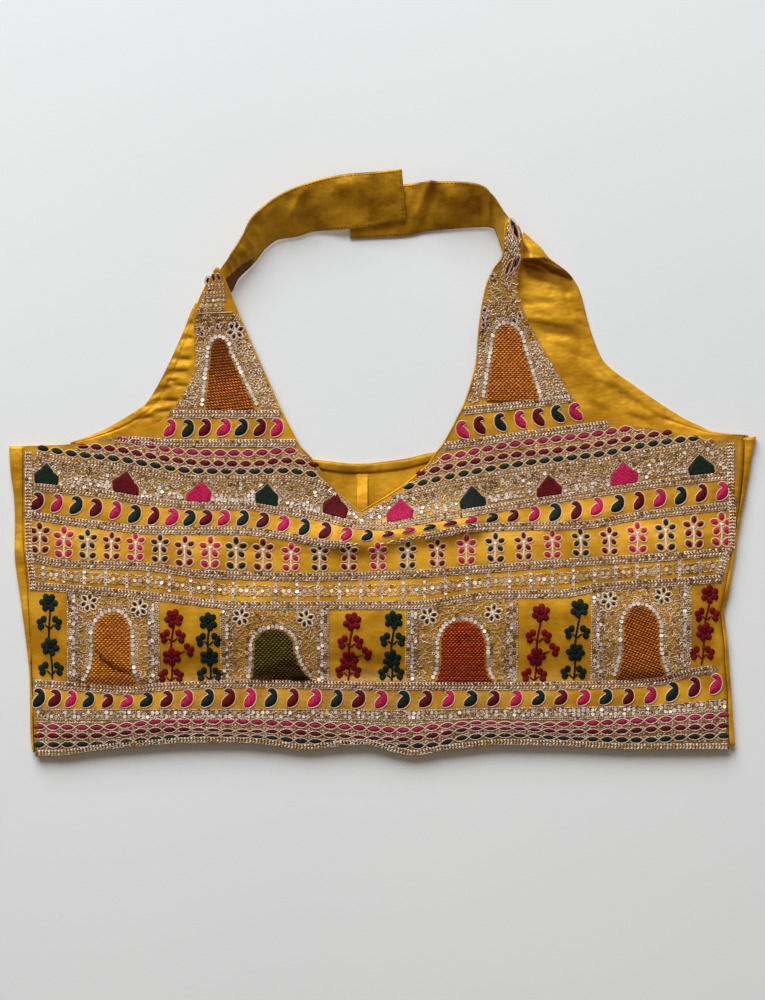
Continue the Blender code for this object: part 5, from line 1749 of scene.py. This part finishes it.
# ---------------------------------------------------------------- finishes
class Finish:
    """A material while it is made: its nodes, its links and its shader."""

    def __init__(self, name, roughness, **settings):
        self.material = bpy.data.materials.new(name)
        self.material.use_nodes = True
        self.nodes, self.links = self.material.node_tree.nodes, self.material.node_tree.links
        self.shader = self.nodes["Principled BSDF"]
        for socket, value in {"Roughness": roughness, **settings}.items():
            self.shader.inputs[socket.replace("_", " ")].default_value = value

    def node(self, kind, **inputs):
        """A new node with some of its inputs."""
        node = self.nodes.new("ShaderNode" + kind)
        self.feed(node, **inputs)
        return node

    def feed(self, node, **inputs):
        """Gives a node its inputs: each a constant value or another node's output."""
        for name, value in inputs.items():
            if isinstance(value, bpy.types.NodeSocket):
                self.links.new(value, node.inputs[name])
            else:
                node.inputs[name].default_value = value

    def attribute(self, name, output):
        """What the mesh says at each point under a name."""
        node = self.nodes.new("ShaderNodeAttribute")
        node.attribute_name = name
        return node.outputs[output]

    def noise(self, scale, detail=3.0, stretch=(1, 1, 1), rough=0.55):
        """A noise texture on the piece's own place, stretched by the given factors."""
        own_place = self.node("TexCoord").outputs["Object"]
        vector = self.node("Mapping", Vector=own_place, Scale=stretch).outputs["Vector"]
        noise = self.node("TexNoise", Vector=vector, Scale=scale, Detail=detail, Roughness=rough)
        return noise.outputs["Fac"]

    def ramp(self, source, stops):
        """Colours along a value: (position, colour) stops."""
        node = self.node("ValToRGB", Fac=source)
        elements = node.color_ramp.elements
        while len(elements) < len(stops):
            elements.new(0.5)
        for element, (position, colour) in zip(elements, stops):
            element.position = position
            element.color = (*colour, 1)
        return node.outputs["Color"]

    def mix(self, kind, factor, first, second):
        """One colour blended over another."""
        node = self.nodes.new("ShaderNodeMix")
        node.data_type, node.blend_type = "RGBA", kind
        self.feed(node, Factor=factor, A=first, B=second)
        return node.outputs["Result"]

    def bump(self, *sources):
        """Bumps on top of one another: (source, depth in millimetres, strength)."""
        last = {}
        for source, depth, strength in sources:
            node = self.node("Bump", Height=source, Distance=depth * MM, Strength=strength, **last)
            last = {"Normal": node.outputs["Normal"]}
        self.feed(self.shader, **last)


def mustard_satin(name, worked_and_shaded=False, deep=MUSTARD_DEEP, pale=MUSTARD_LIGHT, slub_run=(1, 7, 1)):
    """Slub silk satin: warm cloudy shades, thin slubs, and a fine thread grain. As far as it is covered, a
    worked satin takes the colour of close metal thread with painted shade between the stitches, which also
    darkens its bands of painted shade about the waist braid; any other satin takes a dark red-brown of
    painted shade."""
    satin = Finish(
        name, 0.48, Metallic=0.18 if worked_and_shaded else 0.32, Sheen_Weight=0.05, Sheen_Roughness=0.4,
        Sheen_Tint=(1.0, 0.75, 0.35, 1), Specular_IOR_Level=0.3, Specular_Tint=(1.0, 0.78, 0.35, 1),
    )
    cloudy = satin.noise(36, 4, (1, 1.3, 1), 0.6)
    crumple = satin.noise(75, 2, (1, 1.5, 1), 0.5)
    slubs = satin.noise(90, 4, slub_run, 0.6)
    shade = satin.ramp(cloudy, ((0.38, deep), (0.62, pale)))
    streak = satin.ramp(slubs, ((0.35, (0.70, 0.66, 0.58)), (0.65, (1, 1, 1))))
    colour = satin.mix("MULTIPLY", 0.4, shade, streak)
    # Painted shade: dark red-brown for unworked satin; for worked satin, close metal thread, dark between its
    # stitches
    covered_and_shaded = ((0.4, (0.085, 0.016, 0.002)), (0.6, (0.14, 0.032, 0.003)))
    if worked_and_shaded:
        covered_and_shaded = ((0.35, (0.10, 0.05, 0.02)), (0.5, (0.26, 0.15, 0.06)), (0.65, (0.48, 0.32, 0.18)))
    covered_and_shaded = satin.ramp(satin.noise(1100, 2), covered_and_shaded)
    colour = satin.mix("MIX", satin.attribute("cover_and_shade", "Fac"), colour, covered_and_shaded)
    satin.feed(satin.shader, **{"Base Color": colour})
    grain = [(satin.noise(700, 2, stretch), 0.12, 0.25) for stretch in ((1, 6, 1), (6, 1, 1))]
    satin.bump(*([] if worked_and_shaded else [(crumple, 2.2, 0.55)]), (slubs, 0.3, 0.25), *grain)
    return satin.material


def dyed(name, roughness, grain, depth, dark=0.8, **settings):
    """Thread in the dye of each stitch, with a fine grain in its shade and its relief."""
    silk = Finish(name, roughness, **settings)
    fleck = silk.noise(grain, 3)
    shade = silk.ramp(fleck, ((0.38, (dark, dark, dark)), (0.6, (1, 1, 1))))
    colour = silk.mix("MULTIPLY", 1.0, silk.attribute("dye", "Color"), shade)
    silk.feed(silk.shader, **{"Base Color": colour})
    silk.bump((fleck, depth, 0.5))
    return silk.material


def pale_table():
    """Nearly white, with a faint change of tone."""
    plain = Finish("pale_table", 0.75, Specular_IOR_Level=0.2)
    tones = ((0.3, (0.775, 0.799, 0.820)), (0.7, (0.815, 0.835, 0.852)))
    plain.feed(plain.shader, **{"Base Color": plain.ramp(plain.noise(2, 2), tones)})
    return plain.material


# ---------------------------------------------------------------- light and camera
def window_light():
    """A round patch of daylight, high up beyond the neck."""
    lamp = bpy.data.lights.new("window", "AREA")
    lamp.shape, lamp.size, lamp.energy, lamp.color = "DISK", WINDOW_SIZE, WINDOW_POWER, WINDOW_COLOUR
    window = bpy.data.objects.new("window", lamp)
    window.location = WINDOW_AT
    window.rotation_euler = (-Vector(WINDOW_AT)).to_track_quat("-Z", "Y").to_euler()
    bpy.context.scene.collection.objects.link(window)


def studio():
    """The table, the light of the room, the window and the camera straight above."""
    scene = bpy.context.scene
    scene.view_settings.view_transform = "Standard"
    world = bpy.data.worlds.new("soft_room")
    world.use_nodes = True
    background = world.node_tree.nodes["Background"]
    background.inputs["Color"].default_value = (*ROOM_COLOUR, 1)
    background.inputs["Strength"].default_value = ROOM_LIGHT
    scene.world = world
    window_light()
    floor = bpy.data.meshes.new("table")
    corners = [(x * TABLE_HALF, y * TABLE_HALF, TABLE_TOP) for x, y in ((-1, -1), (1, -1), (1, 1), (-1, 1))]
    floor.from_pydata(corners, [], [(0, 1, 2, 3)])
    floor.materials.append(pale_table())
    table = bpy.data.objects.new("table", floor)
    scene.collection.objects.link(table)
    optics = bpy.data.cameras.new("camera")
    optics.lens, optics.sensor_width = LENS, SENSOR
    camera = bpy.data.objects.new("camera", optics)
    camera.location = CAMERA_AT
    scene.collection.objects.link(camera)
    scene.camera = camera


# ---------------------------------------------------------------- the garment
def main():
    """Makes the cloth and its embroidery, and hides the solids that the cloth takes the place of."""
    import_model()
    studio()
    satin = mustard_satin("mustard_satin")
    # The straps, the neck hem, the placket and the left panel are of the same satin; these copies are darker
    # as painted shade, and the straps' slubs run across them.
    shaded_strap_satin = mustard_satin(
        "shaded_strap_satin", deep=(0.30, 0.128, 0.004), pale=(0.66, 0.335, 0.018), slub_run=(7, 1, 1)
    )
    shaded_satin = mustard_satin("shaded_satin", deep=(0.44, 0.19, 0.005), pale=(0.68, 0.34, 0.018))
    worked_satin = mustard_satin("worked_satin", True, (0.46, 0.20, 0.006), (0.76, 0.38, 0.024))
    zari = dyed("metal_thread", 0.45, 900, 0.15, Specular_IOR_Level=0.5)
    floss_silk = dyed("floss_silk", 0.65, 1000, 0.3, 0.42, Specular_IOR_Level=0.12)
    foil = dyed("sequin_foil", 0.25, 300, 0.02, Metallic=0.1, Specular_IOR_Level=0.7)

    sewing = Work()
    front = front_cloth(worked_satin)
    piping = neck_piping(satin)
    back = back_cloth(satin)
    neck_hem = strip_cloth(
        "neck_hem_cloth", NECK_HEM_LEFT, NECK_HEM_RIGHT, lambda x: smooth(BACK_TOP, x) - 0.3,
        lambda x: smooth(BACK_TOP, x) - NECK_HEM_WIDTH, 120, shaded_strap_satin,
    )
    placket = strip_cloth(
        "placket_cloth", PLACKET_LEFT, PLACKET_RIGHT, lambda x: np.full_like(x, PLACKET_TOP),
        lambda x: smooth(HEM, x) + HEM_INSET + 2, 12, shaded_satin,
    )
    left_panel = armhole_cloth("armhole_cloth_left", LEFT_PANEL, LEFT_CRINKLES, 150, shaded_satin)
    right_panel = armhole_cloth("armhole_cloth_right", RIGHT_PANEL, RIGHT_CRINKLES, 190, satin)
    left_strap = strap_cloth(
        "strap_cloth_left", LEFT_STRAP, 180, None, LEFT_RIPPLES, 0, shaded_strap_satin, sewing
    )
    right_strap = strap_cloth(
        "strap_cloth_right", RIGHT_STRAP, 160, STRAP_CREASE, RIGHT_RIPPLES, 1, shaded_strap_satin, sewing
    )
    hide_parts("front_face")
    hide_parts("back_panel")
    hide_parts("back_neck_hem")
    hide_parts("back_placket")
    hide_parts("armhole_panel_left")
    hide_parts("armhole_panel_right")
    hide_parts("halter_strap_left")
    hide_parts("halter_strap_right")

    braids, grounds, outlines, floss, sprigs, arches, sequins = (Work() for _ in range(7))
    lay_braids(braids)
    lay_ovals(floss, outlines, braids)
    lay_paisleys(floss, outlines)
    lay_bootis(floss, outlines)
    lay_sequin_flowers(outlines, sequins, grounds)
    names = cycle(len(GABLES_AT), DARK_CYCLE)
    gables = [gable(floss, grounds, *shape, name) for shape, name in zip(GABLES_AT, names)]
    lay_yoke(grounds, sequins, gables)
    lay_frames(grounds, sequins)
    lay_arm_tops(floss, outlines, grounds, sequins)
    lay_sequin_band(grounds, sequins)
    star(floss, outlines, sequins, STARS)
    lay_sprigs(sprigs)
    for arch in ARCHES:
        weave(arches, arch)
    stitching = sewing.piece("topstitching", floss_silk)
    trimmings = [
        piping,
        braids.piece("zari_braids", zari),
        grounds.piece("zari_grounds", zari),
        outlines.piece("motif_outlines", zari),
        floss.piece("floss_motifs", floss_silk),
        sprigs.piece("floss_sprigs", floss_silk),
        arches.piece("woven_arches", floss_silk),
        sequins.piece("sequins", foil, smooth_shading=False),
    ]

    for cloth, size, area, held, under, others in (
        (front, (0.436, 0.345), 0.0865, "laid", [back], trimmings),
        (back, (0.478, 0.190), 0.0780, "folded", [], [neck_hem, placket]),
        (left_panel, (0.030, 0.105), 0.0024, "laid", [back], []),
        (right_panel, (0.055, 0.175), 0.0058, "laid", [back], []),
        (left_strap, (0.036, 0.145), 0.0037, "laid", [right_strap], [stitching]),
        (right_strap, (0.036, 0.115), 0.0031, "laid", [right_panel], []),
    ):
        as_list(under)
        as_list(others)


main()
